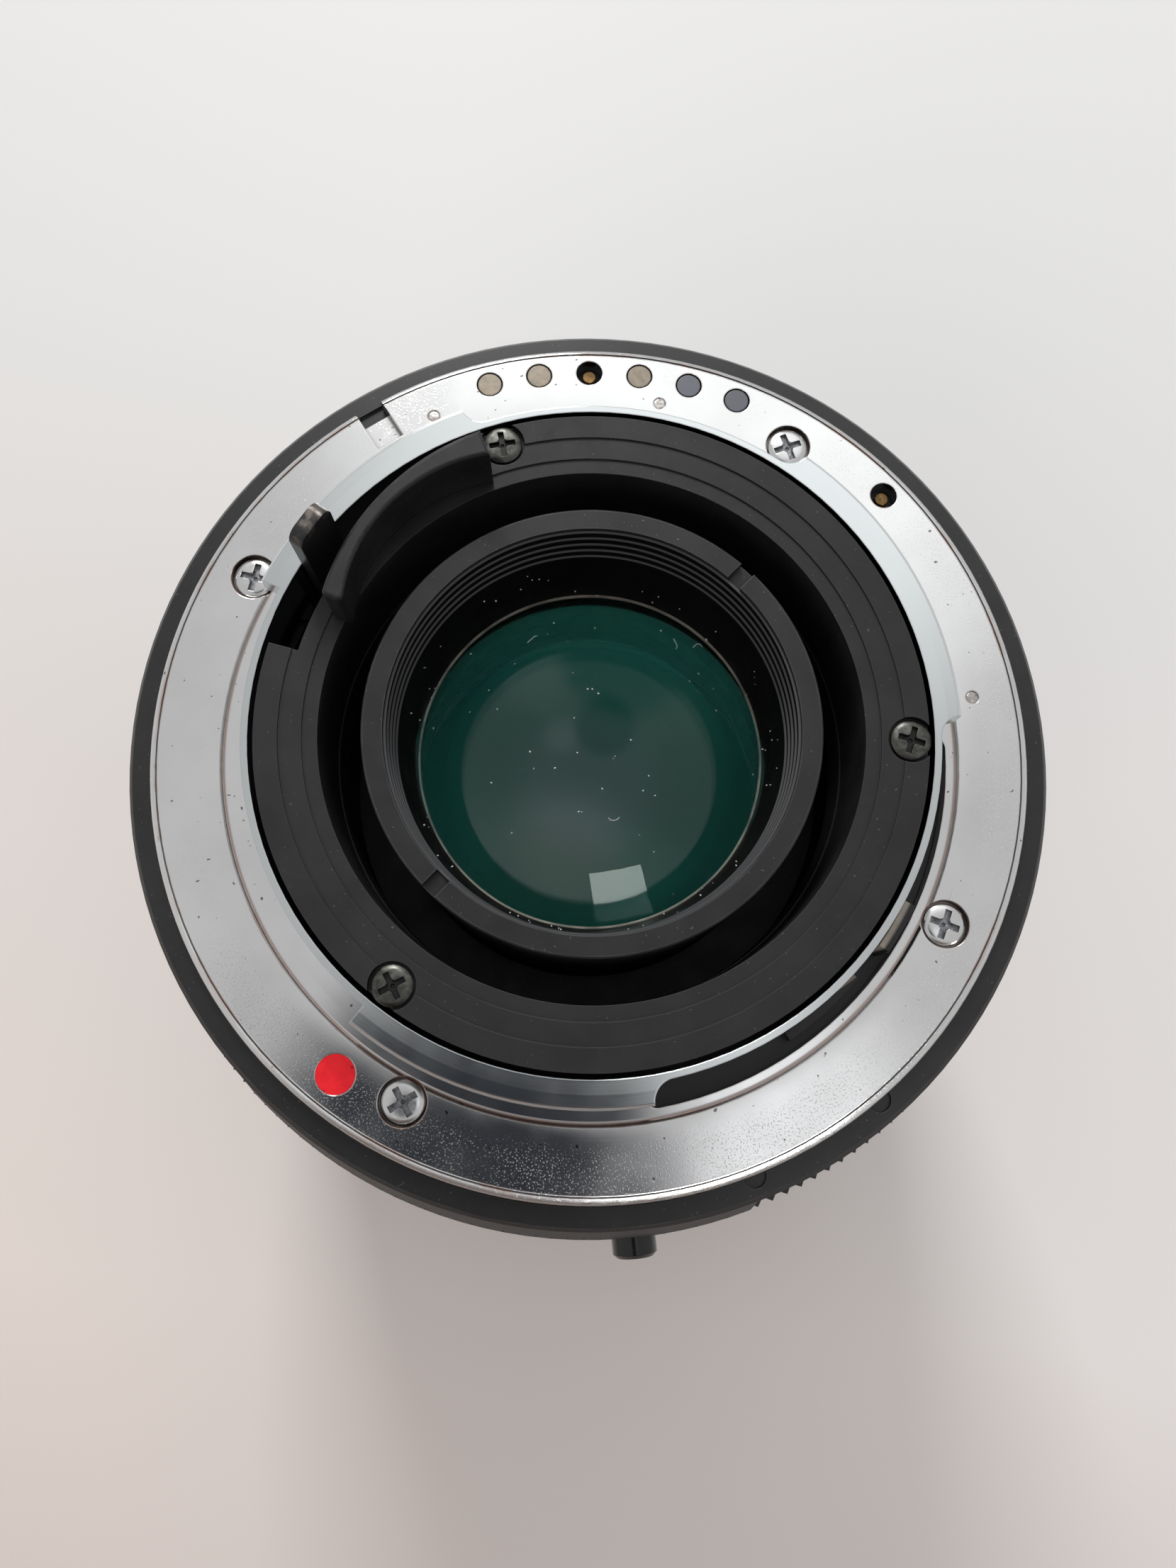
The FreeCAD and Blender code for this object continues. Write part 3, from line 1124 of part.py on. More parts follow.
def main():
    os.makedirs("parts", exist_ok=True)
    save("bayonet_mount", make_bayonet_mount())
    save("mount_screws", make_mount_screws())
    save("locating_pins", make_locating_pins())
    save("alignment_dot", make_alignment_dot())
    save("contact_block", make_contact_block())
    save("contact_pads", make_contact_pads())
    save("a_position_pin", make_a_position_pin())
    save("data_pin", make_data_pin())
    save("data_pin_holder", make_data_pin_holder())
    save("rear_housing", make_rear_housing())
    save("light_baffle", make_light_baffle())
    save("baffle_screws", make_baffle_screws())
    save("coupling_ring", make_coupling_ring())
    save("aperture_ring", make_aperture_ring())
    save("lock_button", make_lock_button())
    save("lever_ring", make_lever_ring())
    save("stop_down_lever", make_stop_down_lever())
    save("lever_clip", make_lever_clip())
    save("guide_barrel", make_guide_barrel())
    save("index_ring", make_index_ring())
    save("index_mark", make_index_mark())
    save("zoom_retainer", make_zoom_retainer())
    save("cam_tube", make_cam_tube())
    save("zoom_ring", make_zoom_ring())
    save("zoom_key", make_zoom_key())
    save("zoom_grip", rubber_grip(ZOOM_RING_R, ZOOM_GRIP_R, ZOOM_GRIP_SPAN, ZOOM_GRIP_BLOCK_COUNT))
    save("rear_cell", make_rear_cell())
    save("cell_ring", make_cell_ring())
    save("light_trap", make_light_trap())
    save("rear_element", make_rear_element())
    save("rear_spacer", make_rear_spacer())
    save("rear_inner_element", make_rear_inner_element())
    save("rear_lock_ring", make_rear_lock_ring())
    save("group_carrier", make_group_carrier())
    save("rear_followers", make_rear_followers())
    save("iris_base", make_iris_base())
    save("iris_cover", make_iris_cover())
    save("iris_cam_ring", make_iris_cam_ring())
    for index in range(BLADE_COUNT):
        save("iris_blade_" + str(index + 1), make_iris_blade(index))
    save("front_barrel", make_front_barrel())
    save("front_followers", make_front_followers())
    save("focus_ring", make_focus_ring())
    save("focus_grip", rubber_grip(FOCUS_RING_R, FOCUS_GRIP_R, FOCUS_GRIP_SPAN, FOCUS_GRIP_BLOCK_COUNT))
    save("focus_retainer", make_focus_retainer())
    save("front_cell", make_front_cell())
    save("focus_pins", make_focus_pins())
    save("front_element", make_front_element())
    save("front_second_element", make_front_second_element())
    save("front_spacer", make_front_spacer())
    save("trim_ring", make_trim_ring())


main()
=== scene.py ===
# %% [markdown]
# # A zoom lens that stands on its front rim
# The photograph looks down on the bayonet side of a compact zoom lens.
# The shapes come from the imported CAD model, which is loaded here as a fixed frame.
# This lesson adds what CAD leaves out: finishes, wear, rubber, screw recesses, printed numbers and light.

# %% Load the frame
import json
import math
import random

import bmesh
import bpy
from mathutils import Matrix, Vector


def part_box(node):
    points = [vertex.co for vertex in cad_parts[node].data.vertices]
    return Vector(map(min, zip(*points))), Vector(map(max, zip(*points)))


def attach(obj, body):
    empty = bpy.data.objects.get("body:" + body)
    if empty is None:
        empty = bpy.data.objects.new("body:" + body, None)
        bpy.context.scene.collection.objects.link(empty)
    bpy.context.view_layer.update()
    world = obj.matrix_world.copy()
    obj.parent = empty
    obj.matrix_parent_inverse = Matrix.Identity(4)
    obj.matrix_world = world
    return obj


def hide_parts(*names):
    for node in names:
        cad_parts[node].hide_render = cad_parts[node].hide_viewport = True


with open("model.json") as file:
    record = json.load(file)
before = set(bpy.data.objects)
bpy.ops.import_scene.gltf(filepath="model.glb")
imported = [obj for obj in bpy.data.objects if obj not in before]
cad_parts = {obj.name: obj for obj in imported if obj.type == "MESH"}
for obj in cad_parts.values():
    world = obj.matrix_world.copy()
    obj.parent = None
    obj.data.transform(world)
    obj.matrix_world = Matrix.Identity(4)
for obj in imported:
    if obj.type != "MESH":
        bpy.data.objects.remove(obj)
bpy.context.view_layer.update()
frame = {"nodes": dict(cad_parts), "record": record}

MM = 0.001
flange_z = round(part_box("bayonet_mount")[1].z - 5.15 * MM, 6)
print("flange at", flange_z, "m above the table")

# %% [markdown]
# ## Camera
# The picture is taken from close over the lens, a little towards its lower edge.
# Distance, tilt and focal length were solved from the round flange, which the wide view makes slightly oval.
# A near clipping plane of one millimetre keeps the tall lever whole.

# %% Camera
IMAGE_SIZE = (1659, 2212)
FOCAL_PIXELS = 1725.0

eye = bpy.data.cameras.new("camera")
eye.sensor_fit = "VERTICAL"
eye.sensor_height = 36.0
eye.lens = FOCAL_PIXELS / IMAGE_SIZE[1] * eye.sensor_height
eye.clip_start = 0.001
camera = bpy.data.objects.new("camera", eye)
bpy.context.scene.collection.objects.link(camera)
tilt = Matrix.Rotation(math.radians(12.08), 4, "X") @ Matrix.Rotation(math.radians(4.62), 4, "Z")
camera.matrix_world = Matrix.Translation((0, -0.020, flange_z + 0.0809)) @ tilt
bpy.context.scene.camera = camera
bpy.context.scene.view_settings.view_transform = "Standard"
print("lens of the camera", round(eye.lens, 2), "mm")

# %% [markdown]
# ## Node helpers
# Materials, the world and Geometry Nodes are all trees of nodes. One small function adds a node, sets its choices,
# and joins or fills its inputs. The others are sums that come again and again, so later cells stay short.

# %% Node helpers
MICRON = 0.001 * MM


def add(tree, kind, inputs=None, **choices):
    """Adds a node. An input that is given a socket is linked, and any other value is set."""
    node = tree.nodes.new(kind)
    for name, value in choices.items():
        setattr(node, name, value)
    for name, value in (inputs or {}).items():
        if isinstance(value, bpy.types.NodeSocket):
            tree.links.new(value, node.inputs[name])
        else:
            node.inputs[name].default_value = value
    return node


def calculate(tree, first, operation, second=0.0):
    """A sum on one or two numbers."""
    return add(tree, "ShaderNodeMath", {0: first, 1: second}, operation=operation).outputs["Value"]


def times(tree, first, second):
    return calculate(tree, first, "MULTIPLY", second)


def weighted(tree, part, weight, rest):
    """A part times its weight, on top of the rest."""
    return add(tree, "ShaderNodeMath", {0: part, 1: weight, 2: rest}, operation="MULTIPLY_ADD").outputs["Value"]


def vector(tree, first, operation, second=(0, 0, 0)):
    """A sum on one or two vectors. Lengths and dot products come out as a number."""
    result = "Value" if operation in ("LENGTH", "DOT_PRODUCT") else "Vector"
    return add(tree, "ShaderNodeVectorMath", {0: first, 1: second}, operation=operation).outputs[result]


def combine(tree, x=0.0, y=0.0, z=0.0):
    return add(tree, "ShaderNodeCombineXYZ", {"X": x, "Y": y, "Z": z}).outputs["Vector"]


def split(tree, place):
    return add(tree, "ShaderNodeSeparateXYZ", {"Vector": place}).outputs


def mixed(tree, factor, first, second):
    """A colour between two others."""
    first, second = [value if isinstance(value, bpy.types.NodeSocket) else (*value, 1) for value in (first, second)]
    return add(tree, "ShaderNodeMix", {0: factor, 6: first, 7: second}, data_type="RGBA").outputs[2]


def layered(tree, colour, *layers):
    """A colour with others laid over it in turn, each as strongly as its share says."""
    for share, over in layers:
        colour = mixed(tree, share, colour, over)
    return colour


print("a micron is", MICRON, "m")

# %% [markdown]
# ## Lamps
# Polished chrome shows the room more than its own colour, so the light is what makes the flange look right.
# A broad soft lamp behind the lens whitens the upper part of the flange and dims the table towards the viewer.
# A weak warm lamp from the front opens the shadows, and it stays out of the reflections.

# %% Lamps
def soft_lamp(name, place, sides, watts, colour):
    """An oblong lamp that looks at the middle of the lens."""
    lamp = bpy.data.lights.new(name, "AREA")
    lamp.shape = "RECTANGLE"
    lamp.size, lamp.size_y = sides
    lamp.energy = watts
    lamp.color = colour
    holder = bpy.data.objects.new(name, lamp)
    bpy.context.scene.collection.objects.link(holder)
    direction = Vector((0, 0, 0.05)) - Vector(place)
    holder.matrix_world = Matrix.Translation(place) @ direction.to_track_quat("-Z", "Y").to_matrix().to_4x4()
    return holder


soft_lamp("window", (-0.13, 0.50, 0.46), (0.17, 0.27), 2.2, (1.0, 1.0, 0.99))
fill = soft_lamp("fill", (-0.20, -0.45, 0.45), (0.35, 0.35), 0.75, (1.0, 0.91, 0.86))
fill.visible_glossy = False
print(len(bpy.data.lights), "lamps")

# %% [markdown]
# ## Room
# The world stands for the room that the chrome mirrors. Soft round patches lie over its pale walls:
# a dark side beyond the picture's lower edge, a bright wall beyond the upper, a ceiling lamp and a dark place overhead.

# %% Room
WALLS = (0.58, 0.58, 0.585)
DARK_SIDE = ((-0.05, -1.0, 0.42), 0.45, 0.85, (0.13, 0.10, 0.09))
BRIGHT_WALL = ((0.10, 0.66, 1.0), 0.08, 0.40, (1.22, 1.24, 1.245))
CEILING_LAMP = ((0.17, -0.035, 1.0), 0.02, 0.13, (1.05, 1.06, 1.08))
DARK_PLACE = ((-0.07, -0.11, 1.0), 0.12, 0.20, (0.030, 0.033, 0.040))


def patch(tree, toward, inner, outer):
    """One where the view from the lens is within the inner angle of a direction, zero past the outer."""
    cosine = vector(tree, add(tree, "ShaderNodeTexCoord").outputs["Generated"], "DOT_PRODUCT",
        Vector(toward).normalized())
    edges = {"Value": cosine, "From Min": math.cos(outer), "From Max": math.cos(inner)}
    return add(tree, "ShaderNodeMapRange", edges, interpolation_type="SMOOTHSTEP").outputs["Result"]


room = bpy.data.worlds.new("room")
room.use_nodes = True
bpy.context.scene.world = room
sky = room.node_tree
patches = [(patch(sky, toward, inner, outer), colour)
    for toward, inner, outer, colour in (DARK_SIDE, BRIGHT_WALL, CEILING_LAMP, DARK_PLACE)]
sky.links.new(layered(sky, WALLS, *patches), sky.nodes["Background"].inputs["Color"])
print("a room with", len(patches), "patches")

# %% [markdown]
# ## Material helpers
# A finish starts as one shader with even values. No real surface is even, so noise varies its colour and gloss
# and gives it a fine relief. The noise is on the object's own coordinates, so it stays put in every view.

# %% Material helpers
def surface(name, colour, roughness, metallic=0.0, specular=0.5):
    """A material whose even values stand on the shader itself."""
    material = bpy.data.materials.new(name)
    material.use_nodes = True
    shader = material.node_tree.nodes["Principled BSDF"]
    shader.inputs["Base Color"].default_value = (*colour, 1)
    shader.inputs["Roughness"].default_value = roughness
    shader.inputs["Metallic"].default_value = metallic
    shader.inputs["Specular IOR Level"].default_value = specular
    return material


def feed(material, name, value):
    """Joins a value to an input of a material's shader."""
    material.node_tree.links.new(value, material.node_tree.nodes["Principled BSDF"].inputs[name])


def own_place(tree):
    """The place of a spot of a surface on its own object."""
    return add(tree, "ShaderNodeTexCoord").outputs["Object"]


def spot(tree):
    return split(tree, own_place(tree))


def clouds(tree, size, detail=2.0):
    """Noise from 0 to 1, with spots of about the given size in metres."""
    noise = {"Vector": own_place(tree), "Scale": 1 / size, "Detail": detail}
    return add(tree, "ShaderNodeTexNoise", noise).outputs["Fac"]


def ranged(tree, value, low=0.0, high=1.0, lowest=0.3, highest=0.7):
    """A value spread from low to high while another goes from its lowest to its highest."""
    limits = {"Value": value, "From Min": lowest, "From Max": highest, "To Min": low, "To Max": high}
    return add(tree, "ShaderNodeMapRange", limits).outputs["Result"]


def vary_colour(material, size, first, second):
    tree = material.node_tree
    feed(material, "Base Color", mixed(tree, ranged(tree, clouds(tree, size, 3.0)), first, second))


def vary_gloss(material, size, low, high):
    tree = material.node_tree
    feed(material, "Roughness", ranged(tree, clouds(tree, size, 3.0), low, high))


def relief(material, height, depth, edge=0.0):
    """Bumps of a given depth in metres, on edges that catch light as if rounded by the given radius."""
    tree = material.node_tree
    bump = add(tree, "ShaderNodeBump", {"Height": height, "Strength": 1.0, "Distance": depth})
    if edge != 0:
        rounded = add(tree, "ShaderNodeBevel", {"Radius": edge}, samples=4)
        tree.links.new(rounded.outputs["Normal"], bump.inputs["Normal"])
    feed(material, "Normal", bump.outputs["Normal"])


def piece_of(name, mesh, material=None):
    """An object with one mesh and, if one is given, one material."""
    thing = bpy.data.objects.new(name, mesh)
    bpy.context.scene.collection.objects.link(thing)
    if material:
        mesh.materials.clear()
        mesh.materials.append(material)
    return thing


print(len(bpy.data.materials), "materials before the first finish")

# %% [markdown]
# ## Table
# The lens stands on a pale, plain table that is wide enough to fill every view.
# Its colour is graded as painted light and shade: warm near the viewer, greyer behind and darker along the lower edge.
# A faint cloudy pattern of its own lies over it.

# %% Table
table_top = bpy.data.meshes.new("table")
shape = bmesh.new()
bmesh.ops.create_grid(shape, x_segments=8, y_segments=8, size=3.0)
shape.to_mesh(table_top)
shape.free()
table_paint = surface("table_paint", (0.80, 0.76, 0.74), 0.6, specular=0.2)
paint = table_paint.node_tree
# The colour grades below are painted light and shade: warm on the left and near the viewer, greyer behind, and darker
# on the far left and along the lower edge as painted shade.
spread = spot(paint)
far_side = ranged(paint, spread["Y"], 0.0, 1.0, -0.06, 0.08)
left_side = ranged(paint, spread["X"], 1.0, 0.0, -0.09, 0.09)
lower_edge_shade = ranged(paint, spread["Y"], 0.55, 0.0, -0.11, -0.05)
left_colour = mixed(paint, clouds(paint, 0.05), (0.84, 0.74, 0.685), (0.80, 0.715, 0.665))
right_colour = mixed(paint, clouds(paint, 0.06), (0.89, 0.85, 0.84), (0.86, 0.83, 0.825))
far_colour = mixed(paint, left_side, (0.83, 0.83, 0.825), (0.77, 0.77, 0.765))
feed(table_paint, "Base Color", layered(paint, right_colour, (left_side, left_colour),
    (lower_edge_shade, (0.50, 0.435, 0.405)), (far_side, far_colour)))
table = piece_of("table", table_top, table_paint)
print("table", [round(side, 2) for side in table.dimensions])

# %% [markdown]
# ## Where marks lie
# Chrome edges are rubbed bare, the edges of the blacks are painted pale as a highlight, corners are darkened as painted
# shade, and a lathe leaves fine circles round the axis.
# Each of these functions gives a value for every spot of a surface, and the finishes below are mixed by them.

# %% Where marks lie
FLANGE_MIDDLE = 26 * MM


def distance_out(tree):
    """Distance from the lens axis in metres."""
    return vector(tree, vector(tree, own_place(tree), "MULTIPLY", (1, 1, 0)), "LENGTH")


def zone(tree, low, high, first, last):
    """A value that goes from low to high between two distances from the axis, in millimetres."""
    return ranged(tree, distance_out(tree), low, high, first * MM, last * MM)


def turning_marks(tree, spacing):
    """Fine circles round the lens axis, as a lathe leaves them."""
    marks = {"W": distance_out(tree), "Scale": 1 / spacing, "Detail": 3.0}
    return add(tree, "ShaderNodeTexNoise", marks, noise_dimensions="1D").outputs["Fac"]


def corner_shade(tree, reach):
    """One in corners and crevices, which are darkened as painted shade, zero on open faces."""
    open_sky = add(tree, "ShaderNodeAmbientOcclusion", {"Distance": reach}, samples=4).outputs["AO"]
    return ranged(tree, open_sky, 1.0, 0.0, 0.35, 0.80)


def near_edge(tree, radius):
    """One along the edges of a piece, zero on its open faces."""
    rounded = add(tree, "ShaderNodeBevel", {"Radius": radius}, samples=4).outputs["Normal"]
    same = vector(tree, rounded, "DOT_PRODUCT", add(tree, "ShaderNodeNewGeometry").outputs["Normal"])
    return ranged(tree, same, 1.0, 0.0, 0.90, 0.99)


def bearing(tree):
    """Angle round the lens axis in radians."""
    place = spot(tree)
    return calculate(tree, place["Y"], "ARCTAN2", place["X"])


def streaks(tree, along, across, share):
    """One on a few long thin marks round the axis, which take a small share of the surface."""
    run = times(tree, bearing(tree), FLANGE_MIDDLE / along)
    out = times(tree, distance_out(tree), 1 / across)
    rise = times(tree, spot(tree)["Z"], 1 / across)
    noise = {"Vector": combine(tree, run, out, rise), "Scale": 1.0, "Detail": 2.0}
    return ranged(tree, add(tree, "ShaderNodeTexNoise", noise).outputs["Fac"], 0.0, 1.0, 0.76 - share, 0.80 - share)


def nicks(tree, size, share=0.0):
    """One on small separate spots, zero elsewhere."""
    return ranged(tree, clouds(tree, size, 1.0), 0.0, 1.0, 0.74 - share, 0.78 - share)


def walls_only(tree):
    """One on walls that stand along the lens axis, zero on faces that look along it."""
    lean = split(tree, add(tree, "ShaderNodeTexCoord").outputs["Normal"])["Z"]
    return ranged(tree, calculate(tree, lean, "ABSOLUTE"), 1.0, 0.0, 0.25, 0.55)


print("the middle of the flange is", FLANGE_MIDDLE, "m from the axis")

# %% [markdown]
# ## Chrome of the bayonet
# Chrome is nearly white, and its age shows in copper-coloured edges, dark nicks and hair scratches. Its corners are
# darkened brown as painted shade.
# A narrow groove at the foot of the neck is brown, and the claws are a little cooler than the flange.

# %% Chrome colour
chrome = surface("chrome", (0.80, 0.80, 0.795), 0.10, metallic=1.0)
plating = chrome.node_tree
worn = times(plating, near_edge(plating, 0.16 * MM),
    ranged(plating, clouds(plating, 4 * MM, 3.0), 0.0, 0.8, 0.50, 0.62))
scratches = times(plating, streaks(plating, 6 * MM, 0.18 * MM, 0.03), 0.4)
from_groove = calculate(plating, distance_out(plating), "SUBTRACT", 24.92 * MM)
groove = ranged(plating, calculate(plating, from_groove, "ABSOLUTE"), 1.0, 0.0, 0.0, 0.16 * MM)
on_claws = ranged(plating, spot(plating)["Z"], 0.0, 1.0, flange_z + 0.2 * MM, flange_z + 0.8 * MM)
bright = mixed(plating, ranged(plating, clouds(plating, 6 * MM, 4.0)), (0.84, 0.84, 0.835), (0.76, 0.755, 0.75))
# The corner mask darkens crevices brown as painted shade.
feed(chrome, "Base Color", layered(
    plating, bright, (worn, (0.52, 0.27, 0.18)), (nicks(plating, 0.5 * MM), (0.22, 0.20, 0.19)),
    (scratches, (0.50, 0.49, 0.48)), (corner_shade(plating, 0.5 * MM), (0.07, 0.045, 0.035)),
    (times(plating, groove, 0.8), (0.26, 0.14, 0.10)), (on_claws, (0.68, 0.705, 0.71))))
vary_gloss(chrome, 5 * MM, 0.07, 0.15)
print("chrome has", len(plating.nodes), "nodes for its colour")

# %% [markdown]
# A relief of a few thousandths of a millimetre changes the reflections more than any colour. Pits, turning marks,
# the dished inner part, the groove, the slopes of claws and foot and the outer chamfer are added up by weight.

# %% Chrome relief
pits = ranged(plating, clouds(plating, 0.12 * MM, 1.0), 0.0, 0.6, 0.60, 0.72)
pits = times(plating, pits, ranged(plating, clouds(plating, 6 * MM, 3.0), 0.50, 1.0, 0.42, 0.62))
dished = zone(plating, 1.0, 0.0, 25.0, 26.8)
heights = times(plating, pits, zone(plating, 0.0, 1.0, 25.6, 27.2))
claw_slope = times(plating, on_claws, zone(plating, 1.0, 0.0, 22.1, 22.9))
foot, chamfer = zone(plating, 0.0, 1.0, 24.0, 24.8), zone(plating, 0.0, 1.0, 29.3, 29.9)
weights = ((turning_marks(plating, 0.18 * MM), 0.10), (times(plating, dished, dished), -9.0), (groove, -8.0),
    (claw_slope, -3.0), (foot, -6.0), (chamfer, 70.0))
for form, weight in weights:
    heights = weighted(plating, form, weight, heights)
rim = zone(plating, 0.12 * MM, 0.6 * MM, 29.25, 29.30)
relief(chrome, heights, 4.5 * MICRON, edge=rim)
print("chrome has", len(plating.nodes), "nodes with its relief")

# %% [markdown]
# ## Small metal parts
# Screws, pins and springs are so small that a pair of tones and a fine grain are enough.
# What lies in a recess is darker as painted shade.

# %% Small metal parts
def small_metal(name, colour, roughness, metallic=1.0, tones=None, gloss=None, grain=None, edge=0.0):
    """Tones are a spot size and two colours, gloss a size and two values, grain a size, a depth and its detail."""
    material = surface(name, colour, roughness, metallic)
    if tones:
        vary_colour(material, *tones)
    if gloss:
        vary_gloss(material, *gloss)
    if grain:
        size, depth, *detail = grain
        relief(material, clouds(material.node_tree, size, *detail), depth, edge)
    return material


screw_steel = small_metal("bright_screw_steel", (0.74, 0.74, 0.73), 0.16, gloss=(0.6 * MM, 0.12, 0.24),
    grain=(0.2 * MM, 2 * MICRON), edge=0.06 * MM)
dark_steel = small_metal("blackened_steel", (0.16, 0.16, 0.15), 0.34,
    tones=(0.4 * MM, (0.15, 0.15, 0.135), (0.06, 0.06, 0.055)),
    gloss=(0.5 * MM, 0.25, 0.5), grain=(0.2 * MM, 2 * MICRON), edge=0.06 * MM)
pin_steel = small_metal("small_pin_steel", (0.50, 0.45, 0.41), 0.22,
    tones=(0.3 * MM, (0.70, 0.68, 0.65), (0.30, 0.26, 0.24)), grain=(0.4 * MM, 10 * MICRON), edge=0.25 * MM)
spring_steel = small_metal("spring_steel", (0.62, 0.61, 0.59), 0.28,
    tones=(1.5 * MM, (0.70, 0.69, 0.67), (0.42, 0.41, 0.40)), grain=(0.4 * MM, 4 * MICRON, 4.0), edge=0.2 * MM)
brass = small_metal("brass", (0.34, 0.22, 0.09), 0.35, tones=(0.4 * MM, (0.24, 0.145, 0.055), (0.09, 0.055, 0.028)),
    grain=(0.3 * MM, 2 * MICRON), edge=0.08 * MM)
# The two recess finishes are painted shade: they colour the cross recesses darker than the heads.
recess_shade_steel = small_metal("painted_shade_in_recess", (0.20, 0.20, 0.20), 0.4, 0.8,
    tones=(0.3 * MM, (0.42, 0.43, 0.45), (0.13, 0.13, 0.135)), grain=(0.2 * MM, 4 * MICRON))
black_recess_shade = small_metal("dark_recess", (0.012, 0.012, 0.011), 0.45, 0.4,
    tones=(0.3 * MM, (0.02, 0.02, 0.018), (0.006, 0.006, 0.006)))
worn_lip = small_metal("worn_seat_lip", (0.20, 0.19, 0.17), 0.45, 0.6,
    tones=(1.6 * MM, (0.38, 0.36, 0.31), (0.14, 0.135, 0.12)))
print(len(bpy.data.materials), "materials so far")

# %% [markdown]
# ## Lever and contacts
# The lever is black, and its tip is rubbed to bare steel where a camera pushes it.
# The contacts on the left are brassy, and those on the right are grey as a painted reflection, so their colour changes
# across the axis.

# %% Lever and contacts
lever_black = surface("lever_worn_to_steel", (0.016, 0.016, 0.017), 0.34)
coat = lever_black.node_tree
lever_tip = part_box("stop_down_lever")[1].z
near_tip = ranged(coat, spot(coat)["Z"], 0.0, 1.0, lever_tip - 0.8 * MM, lever_tip)
bare = times(coat, near_tip, ranged(coat, clouds(coat, 0.9 * MM, 4.0), 0.0, 1.0, 0.47, 0.58))
feed(lever_black, "Base Color", mixed(coat, bare, (0.015, 0.015, 0.016), (0.17, 0.15, 0.13)))
feed(lever_black, "Metallic", bare)
relief(lever_black, clouds(coat, 0.3 * MM, 3.0), 4 * MICRON, edge=0.25 * MM)

contact_metal = surface("contact_plating", (0.62, 0.55, 0.44), 0.36, metallic=0.75)
pads = contact_metal.node_tree
brassy = mixed(pads, ranged(pads, clouds(pads, 0.5 * MM, 4.0)), (0.25, 0.215, 0.17), (0.18, 0.155, 0.125))
# The grey on the right is a painted reflection; the brassy tones are the plating's own colour.
reflection_side = ranged(pads, spot(pads)["X"], 0.0, 1.0, 3.0 * MM, 3.2 * MM)
feed(contact_metal, "Base Color", mixed(pads, reflection_side, brassy, (0.12, 0.125, 0.14)))
relief(contact_metal, clouds(pads, 0.3 * MM), 2 * MICRON, edge=0.1 * MM)
print("the lever is bare above", round(lever_tip - 0.8 * MM, 5), "m")

# %% [markdown]
# ## Blacks
# The blacks differ in gloss, in grain and in how pale their edges are painted as a highlight, so one function makes
# them all:
# a sandy grain, dust in it, and corners darkened as painted shade.

# %% Blacks
def black_finish(name, level, roughness, grain, depth, edge=0.08, pale=0.0, specular=0.35):
    """Black paint or anodising. Grain and edge are in millimetres, and the depth in thousandths of one."""
    material = surface(name, (level, level, level * 1.03), roughness, specular=specular)
    tree = material.node_tree
    colour = mixed(tree, ranged(tree, clouds(tree, 3 * MM, 3.0)), (level * 0.8, level * 0.8, level * 0.82),
        (level * 1.25, level * 1.25, level * 1.3))
    colour = mixed(tree, nicks(tree, 0.22 * MM), colour, (level * 5,) * 3)
    # Pale edges are a painted highlight.
    if pale:
        edge_highlight = times(tree, near_edge(tree, 0.12 * MM), ranged(tree, clouds(tree, 2 * MM, 3.0), 0.3, 1.0))
        colour = mixed(tree, edge_highlight, colour, (pale,) * 3)
    # Corners are darkened nearly to black as painted shade.
    feed(material, "Base Color", mixed(tree, corner_shade(tree, 0.6 * MM), colour, (0.002,) * 3))
    vary_gloss(material, 2 * MM, roughness * 0.85, roughness * 1.15)
    relief(material, clouds(tree, grain * MM), depth * MICRON, edge * MM)
    return material


housing_black = black_finish("moulded_black", 0.016, 0.50, 0.25, 4)
baffle_black = black_finish("baffle_black", 0.017, 0.50, 0.30, 5, pale=0.045)
tube_black = black_finish("anodised_tube", 0.014, 0.42, 0.20, 3, pale=0.06)
ring_black = black_finish("anodised_ring", 0.014, 0.30, 0.18, 2, pale=0.10, specular=0.5)
cell_black = black_finish("flocked_black", 0.008, 0.75, 0.15, 8)
cell_ring_black = black_finish("cell_ring_black", 0.019, 0.36, 0.15, 2, pale=0.12)
trap_black = black_finish("ridged_trap_black", 0.010, 0.60, 0.15, 2, specular=0.12)
button_black = black_finish("glossy_button", 0.009, 0.14, 0.40, 1, specular=0.5)
blade_black = black_finish("blade_black", 0.022, 0.45, 0.15, 2)
rubber = black_finish("grip_rubber", 0.024, 0.78, 0.12, 10, edge=0.2)
contact_block_black = black_finish("contact_block_black", 0.05, 0.5, 0.20, 3)
print(len(bpy.data.materials), "materials with the blacks")

# %% [markdown]
# The aperture ring is duller on its walls than on its top, and the floors of its notches are lost in shadow.
# The light trap is painted grey on its ridge tops as painted light, and black on the walls between them as painted
# shade.

# %% Blacks that change
sides = ring_black.node_tree
feed(ring_black, "Roughness", ranged(sides, walls_only(sides), 0.27, 0.62, 0.0, 1.0))
ring_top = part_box("aperture_ring")[1].z
below_top = ranged(sides, spot(sides)["Z"], 1.0, 0.0, ring_top - 0.6 * MM, ring_top - 0.3 * MM)
notch_floor = times(sides, below_top, zone(sides, 1.0, 0.0, 31.6, 31.7))
ring_colour = sides.nodes["Principled BSDF"].inputs["Base Color"].links[0].from_socket
feed(ring_black, "Base Color", mixed(sides, notch_floor, ring_colour, (0.001,) * 3))
ridges = trap_black.node_tree
# Ridge tops are grey as painted light, and the walls between them are darkened as painted shade.
feed(trap_black, "Base Color", mixed(ridges, walls_only(ridges), (0.085, 0.086, 0.090), (0.003,) * 3))
print("the ring's top is at", round(ring_top, 5), "m")

# %% [markdown]
# ## Paints
# The red dot that shows where the lens goes on is chipped enamel. Numbers are off-white, and dust is pale grey.

